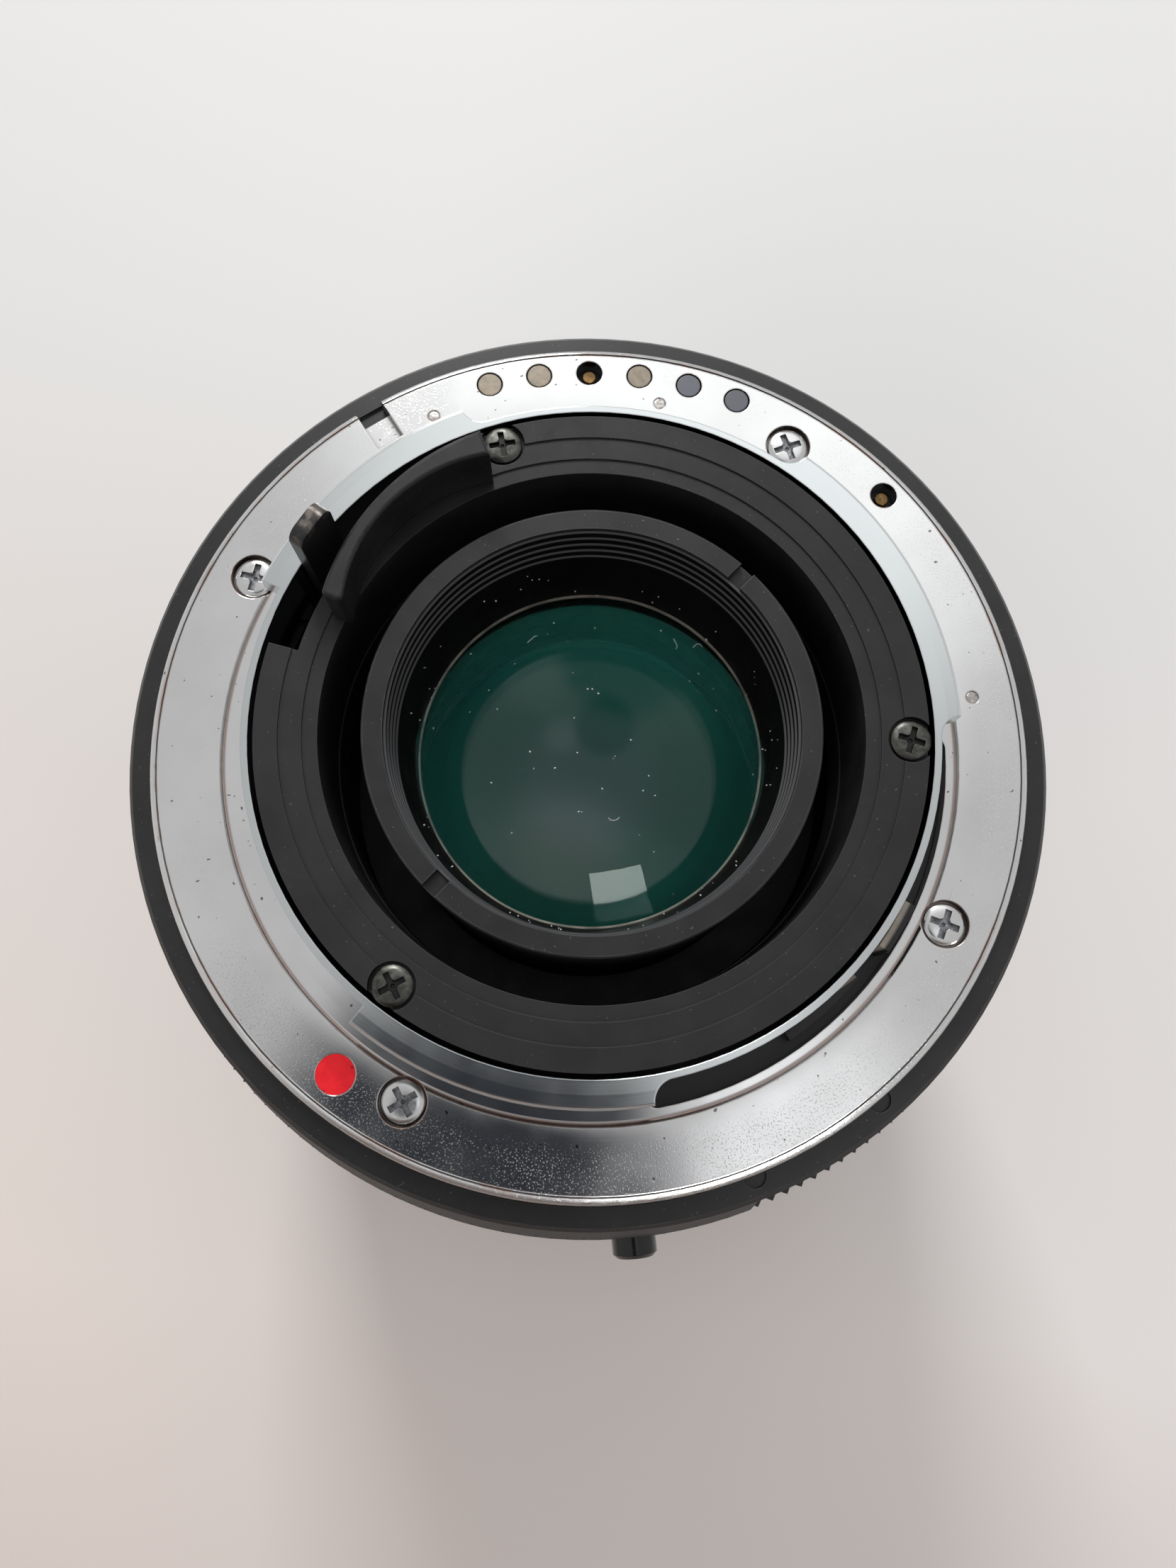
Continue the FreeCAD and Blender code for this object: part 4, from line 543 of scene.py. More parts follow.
# %% Paints
dot_red = surface("red_enamel", (0.92, 0.02, 0.03), 0.32, specular=0.3)
enamel = dot_red.node_tree
reds = mixed(enamel, ranged(enamel, clouds(enamel, 0.9 * MM, 3.0)), (0.95, 0.02, 0.03), (0.80, 0.012, 0.022))
feed(dot_red, "Base Color", mixed(enamel, nicks(enamel, 0.35 * MM, 0.02), reds, (0.10, 0.01, 0.012)))
relief(dot_red, clouds(enamel, 0.5 * MM), 10 * MICRON)

mark_white = surface("mark_white", (0.78, 0.78, 0.76), 0.5)
vary_colour(mark_white, 0.5 * MM, (0.82, 0.82, 0.80), (0.66, 0.66, 0.64))
dust_grey = surface("dust_grey", (0.50, 0.50, 0.48), 0.8, specular=0.1)
vary_colour(dust_grey, 0.2 * MM, (0.90, 0.90, 0.88), (0.55, 0.54, 0.52))
print("red, white and dust grey")

# %% [markdown]
# ## Coupling ring
# Through the long slot of the flange two places of this black ring are seen: a cream tab, and a duller land
# that narrows to a wedge. The finish finds them by angle and distance.

# %% Coupling ring
TAB_ANGLES, LAND_ANGLES = (-32.2, -23.3), (-52.2, -36.8)
WEDGE_START, WEDGE_SLOPE = 26.35 * MM, 4.5 * MM


def between(tree, angles, soft=0.002):
    """One where the angle round the lens axis lies between two, in degrees."""
    (low, high), turn = [math.radians(angle) for angle in angles], bearing(tree)
    return times(tree, ranged(tree, turn, 0.0, 1.0, low, low + soft), ranged(tree, turn, 1.0, 0.0, high - soft, high))


cream = surface("cream_tab", (0.66, 0.62, 0.54), 0.4)
tab = cream.node_tree
on_tab = times(tab, between(tab, TAB_ANGLES), zone(tab, 1.0, 0.0, 23.25, 23.45))
wedge = weighted(tab, bearing(tab), WEDGE_SLOPE, WEDGE_START)
on_land = times(tab, between(tab, LAND_ANGLES), calculate(tab, distance_out(tab), "LESS_THAN", wedge))
pale = mixed(tab, ranged(tab, clouds(tab, 2 * MM)), (0.44, 0.40, 0.34), (0.28, 0.255, 0.215))
dull = mixed(tab, ranged(tab, clouds(tab, 1 * MM)), (0.24, 0.215, 0.18), (0.12, 0.11, 0.09))
feed(cream, "Base Color", layered(tab, (0.012,) * 3, (on_land, dull), (on_tab, pale)))
relief(cream, clouds(tab, 0.3 * MM), 4 * MICRON, edge=0.1 * MM)
print("the tab spans", round(TAB_ANGLES[1] - TAB_ANGLES[0], 1), "degrees")

# %% [markdown]
# ## Glass
# Lens glass is clear, and its thin coating leaves a weak coloured reflection, green on the rear glass.
# That glass reflects as if it were flatter than it is. A film just above it adds the sheen of the coating.

# %% Glass
def coated_glass(name, tint):
    """Clear glass with a slight haze and a coloured reflection."""
    material = surface(name, (0.93, 0.98, 0.96), 0.0, specular=0.5)
    shader = material.node_tree.nodes["Principled BSDF"]
    shader.inputs["Transmission Weight"].default_value = 1.0
    shader.inputs["IOR"].default_value = 1.5
    shader.inputs["Specular Tint"].default_value = (*tint, 1)
    feed(material, "Roughness", ranged(material.node_tree, clouds(material.node_tree, 0.8 * MM, 4.0), 0.0, 0.002))
    return material


rear_glass = coated_glass("green_coated_glass", (0.03, 0.24, 0.18))
dome = rear_glass.node_tree
flatter = vector(dome, add(dome, "ShaderNodeNewGeometry").outputs["Normal"], "MULTIPLY", (1.0, 1.0, 2.0))
feed(rear_glass, "Normal", vector(dome, flatter, "NORMALIZE"))
inner_glass = coated_glass("inner_coated_glass", (0.7, 0.7, 0.7))
inner = inner_glass.node_tree
middle_tint = mixed(inner, zone(inner, 1.0, 0.0, 3.5, 6.5), (0.60, 0.60, 0.60), (0.78, 0.74, 0.84))
feed(inner_glass, "Specular Tint", mixed(inner, zone(inner, 1.0, 0.0, 9.1, 9.25), (0.01, 0.03, 0.03), middle_tint))
lens_glass = coated_glass("coated_glass", (0.35, 0.50, 0.55))

film = surface("coating_film", (0.12, 0.95, 0.72), 0.04, metallic=1.0)
vary_colour(film, 6 * MM, (0.16, 0.95, 0.70), (0.10, 0.90, 0.78))
film.node_tree.nodes["Principled BSDF"].inputs["Alpha"].default_value = 0.013
print(len(bpy.data.materials), "materials in all")

# %% [markdown]
# ## Finishes on the CAD pieces
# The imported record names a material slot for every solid. Each slot gets one of the finishes.

# %% Dress the CAD pieces
FINISHES = {
    "mount_steel": chrome, "screw_steel": screw_steel, "pin_steel": pin_steel, "dot_red": dot_red,
    "contact_plastic": contact_block_black, "contact_metal": contact_metal, "pin_brass": brass,
    "housing_black": housing_black, "baffle_black": baffle_black, "baffle_screw": dark_steel,
    "spring_steel": spring_steel, "tube_black": tube_black, "ring_black": ring_black, "mark_white": mark_white,
    "coupling_metal": cream, "button_black": button_black, "lever_steel": lever_black, "grip_rubber": rubber,
    "brass": brass, "cell_black": cell_black, "cell_ring": cell_ring_black, "lens_glass": lens_glass,
    "blade_steel": blade_black,
}
OWN_FINISH = {"rear_element": rear_glass, "rear_inner_element": inner_glass}
SLOT_OF = {entry["node"]: entry["material_slot"] for entry in frame["record"]["subparts"]}
for node, slot in SLOT_OF.items():
    part = frame["nodes"][node]
    part.data.materials.clear()
    part.data.materials.append(OWN_FINISH.get(node, FINISHES[slot]))
print(len(frame["nodes"]), "CAD pieces dressed")

# %% [markdown]
# ## Repeated pieces
# Screw heads, dust specks and rubber blocks repeat, so Geometry Nodes make one and set it on many points.
# The points are plain vertices, each tree has named sizes, and the result is turned into an ordinary mesh.

# %% Geometry Nodes helper
def new_tree(title, sizes, finishes=("Finish",)):
    """An empty tree with a geometry input and output, named sizes and materials."""
    tree = bpy.data.node_groups.new(title, "GeometryNodeTree")
    tree.interface.new_socket("Geometry", in_out="INPUT", socket_type="NodeSocketGeometry")
    for name in sizes:
        tree.interface.new_socket(name, in_out="INPUT", socket_type="NodeSocketFloat")
    for name in finishes:
        tree.interface.new_socket(name, in_out="INPUT", socket_type="NodeSocketMaterial")
    tree.interface.new_socket("Geometry", in_out="OUTPUT", socket_type="NodeSocketGeometry")
    return tree, tree.nodes.new("NodeGroupInput").outputs


def close_tree(tree, inputs, geometry, second=None):
    """The last nodes of a tree: real geometry, its finish, and a second finish on marked faces."""
    real = add(tree, "GeometryNodeRealizeInstances", {"Geometry": geometry}).outputs["Geometry"]
    dressed = add(tree, "GeometryNodeSetMaterial", {"Geometry": real, "Material": inputs["Finish"]})
    if second:
        marked = add(tree, "GeometryNodeInputNamedAttribute", {"Name": "marked"}, data_type="BOOLEAN")
        dressed = add(tree, "GeometryNodeSetMaterial", {"Geometry": dressed.outputs["Geometry"],
            "Selection": marked.outputs["Attribute"], "Material": inputs[second]})
    tree.links.new(dressed.outputs["Geometry"], tree.nodes.new("NodeGroupOutput").inputs["Geometry"])


def set_on_points(tree, inputs, shape, scale=(1, 1, 1)):
    """One copy of a shape on every point, turned about the lens axis as the point says."""
    turn = add(tree, "GeometryNodeInputNamedAttribute", {"Name": "turn"}, data_type="FLOAT").outputs["Attribute"]
    places = {"Points": inputs["Geometry"], "Instance": shape, "Rotation": combine(tree, z=turn), "Scale": scale}
    return add(tree, "GeometryNodeInstanceOnPoints", places).outputs["Instances"]


def mesh_of_points(points):
    """A mesh of loose points, each with a turn about the lens axis."""
    mesh = bpy.data.meshes.new("points")
    mesh.from_pydata([point[:3] for point in points], [], [])
    turns = mesh.attributes.new("turn", "FLOAT", "POINT")
    turns.data.foreach_set("value", [point[3] for point in points])
    return mesh


def soften(mesh, angle):
    """Smooth shading that leaves edges steeper than the angle crisp."""
    mesh.polygons.foreach_set("use_smooth", [True] * len(mesh.polygons))
    mesh.set_sharp_from_angle(angle=math.radians(angle))


def grow(name, tree, mesh, sizes, smooth=35.0):
    """Runs a tree on a mesh and keeps the result as a plain object."""
    seed = piece_of(name + "_seed", mesh)
    modifier = seed.modifiers.new("tree", "NODES")
    modifier.node_group = tree
    for item in tree.interface.items_tree:
        if item.in_out == "INPUT" and item.name in sizes:
            modifier[item.identifier] = sizes[item.name]
    graph = bpy.context.evaluated_depsgraph_get()
    made = bpy.data.meshes.new_from_object(seed.evaluated_get(graph))
    bpy.data.objects.remove(seed)
    soften(made, smooth)
    print(name, len(made.polygons), "faces")
    return piece_of(name, made)


print(len(bpy.data.node_groups), "trees so far")

# %% [markdown]
# ## Cross-head screws
# Four bright screws hold the bayonet to the barrel and three dark ones hold the light baffle.
# A head is a short disc whose top is domed and rolls off at the rim, so that it catches light from all round.
# Its recess is two crossed blades and a small cone cut away.

# %% Screw head tree
SCREW_SIZES = ("Head radius", "Head height", "Dome", "Cross width", "Cross reach", "Cross depth")
screw, sizes = new_tree("cross_head_screw", SCREW_SIZES, ("Finish", "Recess shade"))


def here(tree):
    """The coordinates of the point that is being worked on."""
    return split(tree, add(tree, "GeometryNodeInputPosition").outputs["Position"])


def across_axis(tree):
    """Distance of a point from the screw's own axis."""
    place = here(tree)
    return vector(tree, combine(tree, place["X"], place["Y"]), "LENGTH")


plain_head = add(screw, "GeometryNodeMeshCylinder", {"Vertices": 48, "Side Segments": 1, "Fill Segments": 8,
    "Radius": sizes["Head radius"], "Depth": sizes["Head height"]})
raised = add(screw, "GeometryNodeTransform", {"Geometry": plain_head.outputs["Mesh"], "Translation":
    combine(screw, z=times(screw, sizes["Head height"], 0.5))})
share = calculate(screw, across_axis(screw), "DIVIDE", sizes["Head radius"])
fall = times(screw, calculate(screw, share, "POWER", 2.0), sizes["Dome"])
roll = times(screw, calculate(screw, share, "POWER", 14.0), sizes["Dome"])
drop = times(screw, calculate(screw, fall, "ADD", roll), -1.0)
on_top = calculate(screw, here(screw)["Z"], "GREATER_THAN", 0.01 * MM)
head = add(screw, "GeometryNodeSetPosition", {"Geometry": raised.outputs["Geometry"], "Selection": on_top,
    "Offset": combine(screw, z=drop)})
print(len(screw.nodes), "nodes make a plain head")

# %% [markdown]
# The recess is cut from the head. Its faces are found again by where they lie, and marked for a darker finish that is
# painted shade.

# %% Screw recess
reach = times(screw, sizes["Cross reach"], 2.0)
tall = times(screw, sizes["Cross depth"], 2.0)
blades = [add(screw, "GeometryNodeMeshCube", {"Size": combine(screw, *size)}).outputs["Mesh"]
    for size in ((reach, sizes["Cross width"], tall), (sizes["Cross width"], reach, tall))]
pit_radius = times(screw, sizes["Cross reach"], 0.62)
pit = add(screw, "GeometryNodeMeshCone", {"Vertices": 24, "Radius Top": pit_radius, "Radius Bottom": 0.05 * MM,
    "Depth": tall}).outputs["Mesh"]
pit_low = times(screw, sizes["Cross depth"], -1.35)
pit = add(screw, "GeometryNodeTransform", {"Geometry": pit, "Translation": combine(screw, z=pit_low)})
cutter = add(screw, "GeometryNodeMeshBoolean", operation="UNION", solver="EXACT")
for cut_shape in blades + [pit.outputs["Geometry"]]:
    screw.links.new(cut_shape, cutter.inputs["Mesh 2"])
cutter_up = add(screw, "GeometryNodeTransform", {"Geometry": cutter.outputs["Mesh"],
    "Translation": combine(screw, z=sizes["Head height"])})
cut = add(screw, "GeometryNodeMeshBoolean", {"Mesh 1": head.outputs["Geometry"]}, operation="DIFFERENCE",
    solver="EXACT")
screw.links.new(cutter_up.outputs["Geometry"], cut.inputs["Mesh 2"])
reach_limit = times(screw, sizes["Cross reach"], 1.03)
inside = calculate(screw, across_axis(screw), "LESS_THAN", reach_limit)
top_here = calculate(screw, calculate(screw, sizes["Head height"], "ADD", drop), "SUBTRACT", 0.03 * MM)
sunk = calculate(screw, here(screw)["Z"], "LESS_THAN", top_here)
above_base = calculate(screw, here(screw)["Z"], "GREATER_THAN", 0.02 * MM)
recess = times(screw, times(screw, inside, sunk), above_base)
marked_cut = add(screw, "GeometryNodeStoreNamedAttribute", {"Geometry": cut.outputs["Mesh"], "Name": "marked",
    "Value": recess}, data_type="BOOLEAN", domain="FACE")
placed = set_on_points(screw, sizes, marked_cut.outputs["Geometry"])
close_tree(screw, sizes, placed, "Recess shade")
print(len(screw.nodes), "nodes make a screw head")

# %% [markdown]
# The heads are placed where the CAD screws are, so they sit in the same counterbores.
# Each cross is turned as the photograph shows it.

# %% Screws in place
def ring_points(radius, height, angles, turns):
    """Points on a circle round the lens axis, in metres."""
    return [(radius * math.cos(math.radians(angle)), radius * math.sin(math.radians(angle)), height,
        math.radians(turn)) for angle, turn in zip(angles, turns)]


MOUNT_SCREW_ANGLES = (62.0, 157.4, 247.3, 337.3)
MOUNT_SCREW_TURNS = (24.0, -9.0, 35.0, -16.0)
mount_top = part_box("mount_screws")[1].z
mount_heads = mesh_of_points(ring_points(26.45 * MM, mount_top - 0.5 * MM, MOUNT_SCREW_ANGLES, MOUNT_SCREW_TURNS))
mount_screws = grow("mount_screw_heads", screw, mount_heads,
    {"Head radius": 1.4 * MM, "Head height": 0.5 * MM, "Dome": 0.09 * MM, "Cross width": 0.44 * MM,
    "Cross reach": 1.0 * MM, "Cross depth": 0.34 * MM, "Finish": screw_steel, "Recess shade": recess_shade_steel})
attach(mount_screws, "barrel")
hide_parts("mount_screws")

BAFFLE_SCREW_ANGLES = (2.3, 111.7, 237.7)
BAFFLE_SCREW_TURNS = (-13.0, 15.0, 33.0)
baffle_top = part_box("baffle_screws")[1].z
baffle_heads = mesh_of_points(ring_points(20.5 * MM, baffle_top - 0.45 * MM, BAFFLE_SCREW_ANGLES, BAFFLE_SCREW_TURNS))
baffle_screws = grow("baffle_screw_heads", screw, baffle_heads,
    {"Head radius": 1.3 * MM, "Head height": 0.45 * MM, "Dome": 0.11 * MM, "Cross width": 0.38 * MM,
    "Cross reach": 0.88 * MM, "Cross depth": 0.32 * MM, "Finish": dark_steel, "Recess shade": black_recess_shade})
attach(baffle_screws, "barrel")
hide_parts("baffle_screws")

# %% [markdown]
# ## Turned pieces
# The ridged trap, the rubber sleeves and the filter thread are the same all round, as if cut on a lathe.
# A closed outline of radius and height is spun round the lens axis, its seam is welded and its faces turned outward.

# %% Lathe helper
def lathe(name, outline, finish, steps=240, smooth=35.0):
    """Spins a closed outline of (radius, height) in metres round the lens axis."""
    solid = bmesh.new()
    corners = [solid.verts.new((radius, 0, z)) for radius, z in outline]
    edges = [solid.edges.new(pair) for pair in zip(corners, corners[1:] + corners[:1])]
    bmesh.ops.spin(solid, geom=corners + edges, cent=(0, 0, 0), axis=(0, 0, 1), angle=2 * math.pi, steps=steps)
    bmesh.ops.remove_doubles(solid, verts=solid.verts[:], dist=1e-6)
    bmesh.ops.recalc_face_normals(solid, faces=solid.faces[:])
    mesh = bpy.data.meshes.new(name)
    solid.to_mesh(mesh)
    solid.free()
    soften(mesh, smooth)
    print(name, len(mesh.polygons), "faces")
    return piece_of(name, mesh, finish)


def depth(millimetres):
    """Height of a place that lies a given depth in front of the flange."""
    return flange_z - millimetres * MM


print("the front rim lies", round(flange_z / MM, 2), "mm in front of the flange")

# %% [markdown]
# ## Light trap
# Under the lip of the rear ring the bore carries fine ridges that swallow stray light, then a plain black cone.
# Three ridges line the ring, and two are on the sleeve that takes the place of the plain CAD sleeve.

# %% Light trap
RIDGE_PITCH, RIDGE_DEPTH, RIDGE_TAPER = 0.80 * MM, 0.10 * MM, 0.085 * MM


def ridged(first_radius, first_top, count):
    """The inner outline of fine ridges, each a little narrower than the one above it."""
    points = []
    for ridge in range(count):
        tip, top = first_radius - RIDGE_TAPER * ridge, first_top - RIDGE_PITCH * ridge
        root = tip + RIDGE_DEPTH
        points += [(tip + 0.02 * MM, top - 0.01 * MM), (tip, top - 0.05 * MM), (tip, top - 0.12 * MM),
            (root, top - 0.22 * MM), (root, top - 0.50 * MM), (tip + 0.07 * MM, top - 0.79 * MM)]
    return points


TRAP_END, TRAP_TOP = (corner.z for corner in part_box("light_trap"))
SEAT = TRAP_END + 0.52 * MM
liner_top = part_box("cell_ring")[1].z - 0.35 * MM
liner = lathe("ridged_liner", [(13.39 * MM, TRAP_TOP + 0.02 * MM), (13.39 * MM, liner_top)] +
    ridged(13.20 * MM, liner_top, 3), trap_black)
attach(liner, "rear_group")

outline = [(14.18 * MM, TRAP_END), (14.18 * MM, TRAP_TOP), (13.2 * MM, TRAP_TOP)]
outline += ridged(12.95 * MM, TRAP_TOP - 0.06 * MM, 2)
outline += [(12.84 * MM, TRAP_END + 4.6 * MM), (12.12 * MM, SEAT + 0.10 * MM), (12.12 * MM, TRAP_END)]
light_trap = lathe("ridged_light_trap", outline, trap_black)
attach(light_trap, "rear_group")
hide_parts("light_trap")

# %% [markdown]
# Where the bore meets the glass there is a thin bright lip. The film above the glass is no real piece: it is
# almost clear, a hundredth of a millimetre thick, and only shows the sheen of the coating.

# %% Lip and film at the glass
SEAT_RADIUS = 12.16 * MM
lip_low, lip_top = SEAT - 0.10 * MM, SEAT + 0.20 * MM
lip = lathe("glass_seat_lip", [(SEAT_RADIUS, lip_low), (SEAT_RADIUS, lip_top), (12.05 * MM, lip_top),
    (11.99 * MM, lip_top - 0.06 * MM), (11.99 * MM, lip_low)], worn_lip)
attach(lip, "rear_group")

film_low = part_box("rear_element")[1].z + 0.06 * MM
film_top = film_low + 0.01 * MM
coating = lathe("coating_film", [(0.05 * MM, film_low), (SEAT_RADIUS, film_low), (SEAT_RADIUS, film_top),
    (0.05 * MM, film_top)], film)
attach(coating, "rear_group")

# %% [markdown]
# ## Dust on the rear glass
# A lens that has been handled carries dust. The specks are tiny flattened beads that Geometry Nodes set on
# seeded random points of the glass dome and of the black cone above it.

# %% Dust on the glass
GLASS_CURVE = 40.0 * MM
dome_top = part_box("rear_element")[1].z


def on_dome(radius, angle, lift):
    """A point just above the domed rear glass."""
    fall = GLASS_CURVE - math.sqrt(GLASS_CURVE ** 2 - radius ** 2)
    return (radius * math.cos(angle), radius * math.sin(angle), dome_top - fall + lift)


speck_tree, sizes = new_tree("dust_speck", ("Speck radius",))
bead = add(speck_tree, "GeometryNodeMeshIcoSphere", {"Radius": sizes["Speck radius"], "Subdivisions": 1})
speck_size = add(speck_tree, "FunctionNodeRandomValue", {2: 0.35, 3: 1.0, "Seed": 4}, data_type="FLOAT").outputs[1]
flat_bead = add(speck_tree, "GeometryNodeTransform", {"Geometry": bead.outputs["Mesh"], "Scale": (1.0, 0.7, 0.35)})
close_tree(speck_tree, sizes, set_on_points(speck_tree, sizes, flat_bead.outputs["Geometry"], speck_size))

chance = random.Random(11)
speck_points = [(*on_dome(11.6 * MM * chance.random() ** 0.6, chance.uniform(0, 2 * math.pi), 0.04 * MM),
    chance.uniform(0, math.pi)) for speck in range(46)]
for speck in range(60):
    turn, rise = chance.uniform(0, 2 * math.pi), chance.random()
    radius = (12.10 + 0.70 * rise) * MM
    speck_points.append((radius * math.cos(turn), radius * math.sin(turn), SEAT + (0.15 + 3.9 * rise) * MM, turn))
dust = grow("dust_on_glass", speck_tree, mesh_of_points(speck_points), {"Speck radius": 0.10 * MM, "Finish": dust_grey})

# %% [markdown]
# Four short fibres lie on the glass too. Each is a thin curve that wanders in small seeded steps.

# %% Fibres
def mesh_of_curve(curve):
    """A curve or a text as a mesh."""
    holder = bpy.data.objects.new("holder", curve)
    bpy.context.scene.collection.objects.link(holder)
    graph = bpy.context.evaluated_depsgraph_get()
    mesh = bpy.data.meshes.new_from_object(holder.evaluated_get(graph))
    bpy.data.objects.remove(holder)
    return mesh


def join(thing, mesh):
    """Adds a mesh to that of a piece."""
    whole = bmesh.new()
    whole.from_mesh(thing.data)
    whole.from_mesh(mesh)
    whole.to_mesh(thing.data)
    whole.free()


fibres = bpy.data.curves.new("fibres", "CURVE")
fibres.dimensions = "3D"
fibres.bevel_depth = 0.022 * MM
fibres.bevel_resolution = 1
for start_radius, start_angle, heading in ((11.0, 52.0, 1.2), (9.6, 118.0, 0.2), (5.0, -62.0, 2.4), (10.6, 60.0, 2.9)):
    strand = fibres.splines.new("POLY")
    strand.points.add(7)
    radius, angle, course = start_radius, math.radians(start_angle), heading
    for point in strand.points:
        point.co = (*on_dome(radius * MM, angle, 0.03 * MM), 1)
        course += chance.uniform(-0.5, 0.7)
        radius = min(radius + 0.13 * math.sin(course), 11.9)
        angle += 0.13 * math.cos(course) / radius
join(dust, mesh_of_curve(fibres))
print("dust and fibres", len(dust.data.polygons), "faces")
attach(dust, "rear_group")

# %% [markdown]
# ## Rubber grips
# The zoom and focus rings wear rubber sleeves with rows of small blocks.
# A block starts as a cube of three by three by three cells. Its outer lines of points are pulled in to a rounded edge,
# and it is then wrapped round the lens axis. Each point of the seed mesh gives the turn of one column of blocks.

# %% Rubber block tree
BLOCK_SIZES = ("Ring radius", "Block depth", "Block width", "Block height", "Edge")
tread, sizes = new_tree("rubber_block", BLOCK_SIZES)
half_block = vector(tread, combine(tread, sizes["Block depth"], sizes["Block width"], sizes["Block height"]),
    "MULTIPLY", (0.5, 0.5, 0.5))
cells = add(tread, "GeometryNodeMeshCube", {"Size": (2, 2, 2), "Vertices X": 4, "Vertices Y": 4, "Vertices Z": 4})
cell_place = add(tread, "GeometryNodeInputPosition").outputs["Position"]
outer = vector(tread, vector(tread, cell_place, "ADD", (0.5, 0.5, 0.5)), "FLOOR")
edge_size = combine(tread, sizes["Edge"], sizes["Edge"], sizes["Edge"])
core = vector(tread, vector(tread, cell_place, "SIGN"), "MULTIPLY", vector(tread, half_block, "SUBTRACT", edge_size))
rounding = vector(tread, vector(tread, outer, "NORMALIZE"), "MULTIPLY", edge_size)
block_place = split(tread, vector(tread, core, "ADD", rounding))
bend = calculate(tread, block_place["Y"], "DIVIDE", sizes["Ring radius"])
bend_radius = calculate(tread, sizes["Ring radius"], "ADD", block_place["X"])
bent = combine(tread, times(tread, calculate(tread, bend, "COSINE"), bend_radius),
    times(tread, calculate(tread, bend, "SINE"), bend_radius), block_place["Z"])
block = add(tread, "GeometryNodeSetPosition", {"Geometry": cells.outputs["Mesh"], "Position": bent})
close_tree(tread, sizes, set_on_points(tread, sizes, block.outputs["Geometry"]))
print(len(tread.nodes), "nodes make a rubber block")

# %% [markdown]
# The blocks sit on a thin sleeve with a rounded lip at each end. Sleeve and blocks become one mesh.

# %% Rubber grips
def rubber_sleeve(name, node, ring_radius, rows, columns=36):
    """A sleeve with rounded lips and rows of blocks, in the space of the CAD sleeve."""
    low, high = (corner.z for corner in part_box(node))
    root, top = ring_radius + 0.62 * MM, ring_radius + 1.26 * MM
    lip = 0.9 * MM
    sleeve = lathe(name, [(ring_radius, low), (top - 0.3 * MM, low), (top, low + 0.3 * MM), (top, low + lip - 0.2 * MM),
        (top - 0.2 * MM, low + lip), (root, low + lip), (root, high - lip), (top - 0.2 * MM, high - lip),
        (top, high - lip + 0.2 * MM), (top, high - 0.3 * MM), (top - 0.3 * MM, high), (ring_radius, high)],
        rubber, steps=144)
    pitch = 2 * math.pi / columns
    row_height = (high - low - 2 * lip - 0.35 * MM) / rows
    seeds = [(0, 0, low + lip + 0.35 * MM + (row + 0.5) * row_height - 0.175 * MM, (column + 0.66) * pitch)
        for row in range(rows) for column in range(columns)]
    blocks = grow(name + "_blocks", tread, mesh_of_points(seeds),
        {"Ring radius": root, "Block depth": 1.2 * MM, "Block width": 0.72 * pitch * root,
        "Block height": row_height - 0.55 * MM, "Edge": 0.28 * MM, "Finish": rubber}, smooth=60)
    join(sleeve, blocks.data)
    bpy.data.objects.remove(blocks)
    soften(sleeve.data, 60)
    return sleeve


zoom_rubber = rubber_sleeve("zoom_rubber", "zoom_grip", 33.5 * MM, 5)
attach(zoom_rubber, "zoom_ring")
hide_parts("zoom_grip")
focus_rubber = rubber_sleeve("focus_rubber", "focus_grip", 33.3 * MM, 2)
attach(focus_rubber, "focus_ring")
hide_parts("focus_grip")

# %% [markdown]
# ## Printed scales
# Numbers are painted on the aperture ring, the zoom ring and the focus ring, with their tops towards the front glass.
# Each number is a text curve turned into a thin mesh. Its letters are then wrapped round the ring, point by point.

# %% Number helper
PAINT_HEIGHT = 0.04 * MM
CAPITAL_SHARE = 0.7


def number_mesh(word, height):
    """A word as a flat mesh with its middle at the origin, in metres."""
    letters = bpy.data.curves.new("letters", "FONT")
    letters.body = word
    letters.size = height / CAPITAL_SHARE
    letters.align_x = "CENTER"
    letters.align_y = "CENTER"
    letters.resolution_u = 3
    letters.extrude = PAINT_HEIGHT
    return mesh_of_curve(letters)


def wrap(mesh, angle, ring_radius, z):
    """Wraps a flat word round a ring, its right-hand side towards smaller angles and its top downward."""
    for point in mesh.vertices:
        bearing = math.radians(angle) - point.co.x / ring_radius
        out = ring_radius + point.co.z
        point.co = (out * math.cos(bearing), out * math.sin(bearing), z - point.co.y)


def print_scale(name, marks, height, ring_radius, z, finish):
    """Words at their angles round a ring, as one mesh."""
    scale = bmesh.new()
    for word, angle in marks:
        mesh = number_mesh(word, height)
        wrap(mesh, angle, ring_radius, z)
        scale.from_mesh(mesh)
        bpy.data.meshes.remove(mesh)
    bmesh.ops.remove_doubles(scale, verts=scale.verts[:], dist=1e-7)
    bmesh.ops.recalc_face_normals(scale, faces=scale.faces[:])
    printed = bpy.data.meshes.new(name)
    scale.to_mesh(printed)
    scale.free()
    print(name, len(printed.polygons), "faces")
    return piece_of(name, printed, finish)


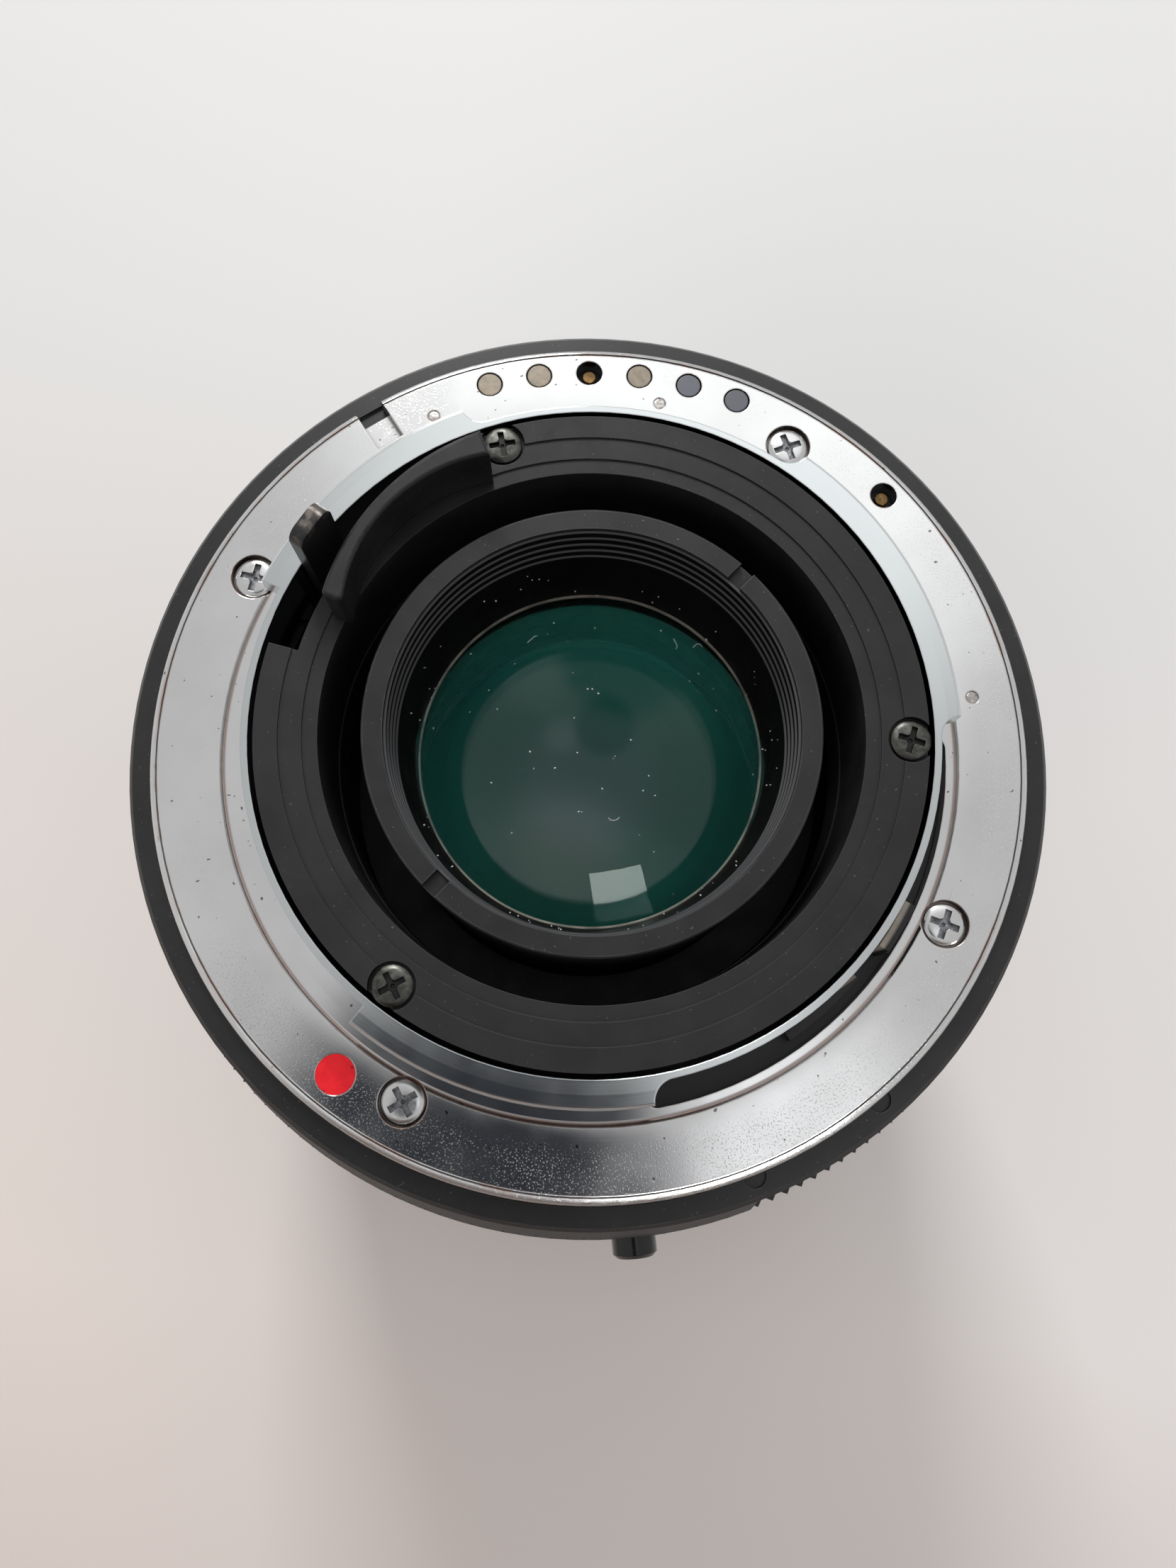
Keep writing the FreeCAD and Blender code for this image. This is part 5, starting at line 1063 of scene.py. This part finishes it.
print("the paint is", 2 * PAINT_HEIGHT, "m thick")

# %% [markdown]
# The angles are those at which each value stands at the white index dot when its ring is turned to it.

# %% Printed scales
INDEX_ANGLE = -100.0
F_NUMBERS = ("22", "16", "11", "8", "5.6", "4", "3.5")
f_marks = [(word, -83.3 - 7.0 * place) for place, word in enumerate(F_NUMBERS)]
aperture_scale = print_scale("aperture_scale", f_marks, 2.0 * MM, 33.2 * MM, depth(10.8), mark_white)
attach(aperture_scale, "aperture_ring")

FOCAL_MARKS = (("35", INDEX_ANGLE), ("50", -130.0), ("70", -154.0), ("80", -172.0))
zoom_scale = print_scale("zoom_scale", FOCAL_MARKS, 2.4 * MM, 33.5 * MM, depth(25.3), mark_white)
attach(zoom_scale, "zoom_ring")

DISTANCES = ("\u221e", "5", "3", "2", "1.5", "1", "0.7", "0.5")
distance_angles = (0.0, 18.0, 32.0, 47.0, 62.0, 82.0, 102.0, 120.0)
distance_marks = [(word, INDEX_ANGLE - angle) for word, angle in zip(DISTANCES, distance_angles)]
focus_scale = print_scale("focus_scale", distance_marks, 2.2 * MM, 33.3 * MM, depth(54.1), mark_white)
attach(focus_scale, "focus_ring")

# %% [markdown]
# ## Filter thread
# The front rim carries a fine inner thread for filters. Seen from the side of one turn it is a row of small teeth.

# %% Filter thread
THREAD_PITCH, THREAD_ROOT, THREAD_TIP, THREAD_BACK = 0.75 * MM, 31.0 * MM, 30.62 * MM, 31.06 * MM
THREAD_LOW, THREAD_HIGH = 0.35 * MM, 3.7 * MM
teeth = [(THREAD_ROOT, THREAD_LOW)]
for tooth in range(4):
    z = 0.45 * MM + tooth * THREAD_PITCH
    teeth += [(THREAD_ROOT, z), (THREAD_TIP, z + 0.28 * MM), (THREAD_TIP, z + 0.38 * MM), (THREAD_ROOT, z + 0.66 * MM)]
teeth += [(THREAD_ROOT, THREAD_HIGH), (THREAD_BACK, THREAD_HIGH), (THREAD_BACK, THREAD_LOW)]
thread = lathe("filter_thread", teeth, tube_black, steps=180)
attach(thread, "front_cell")
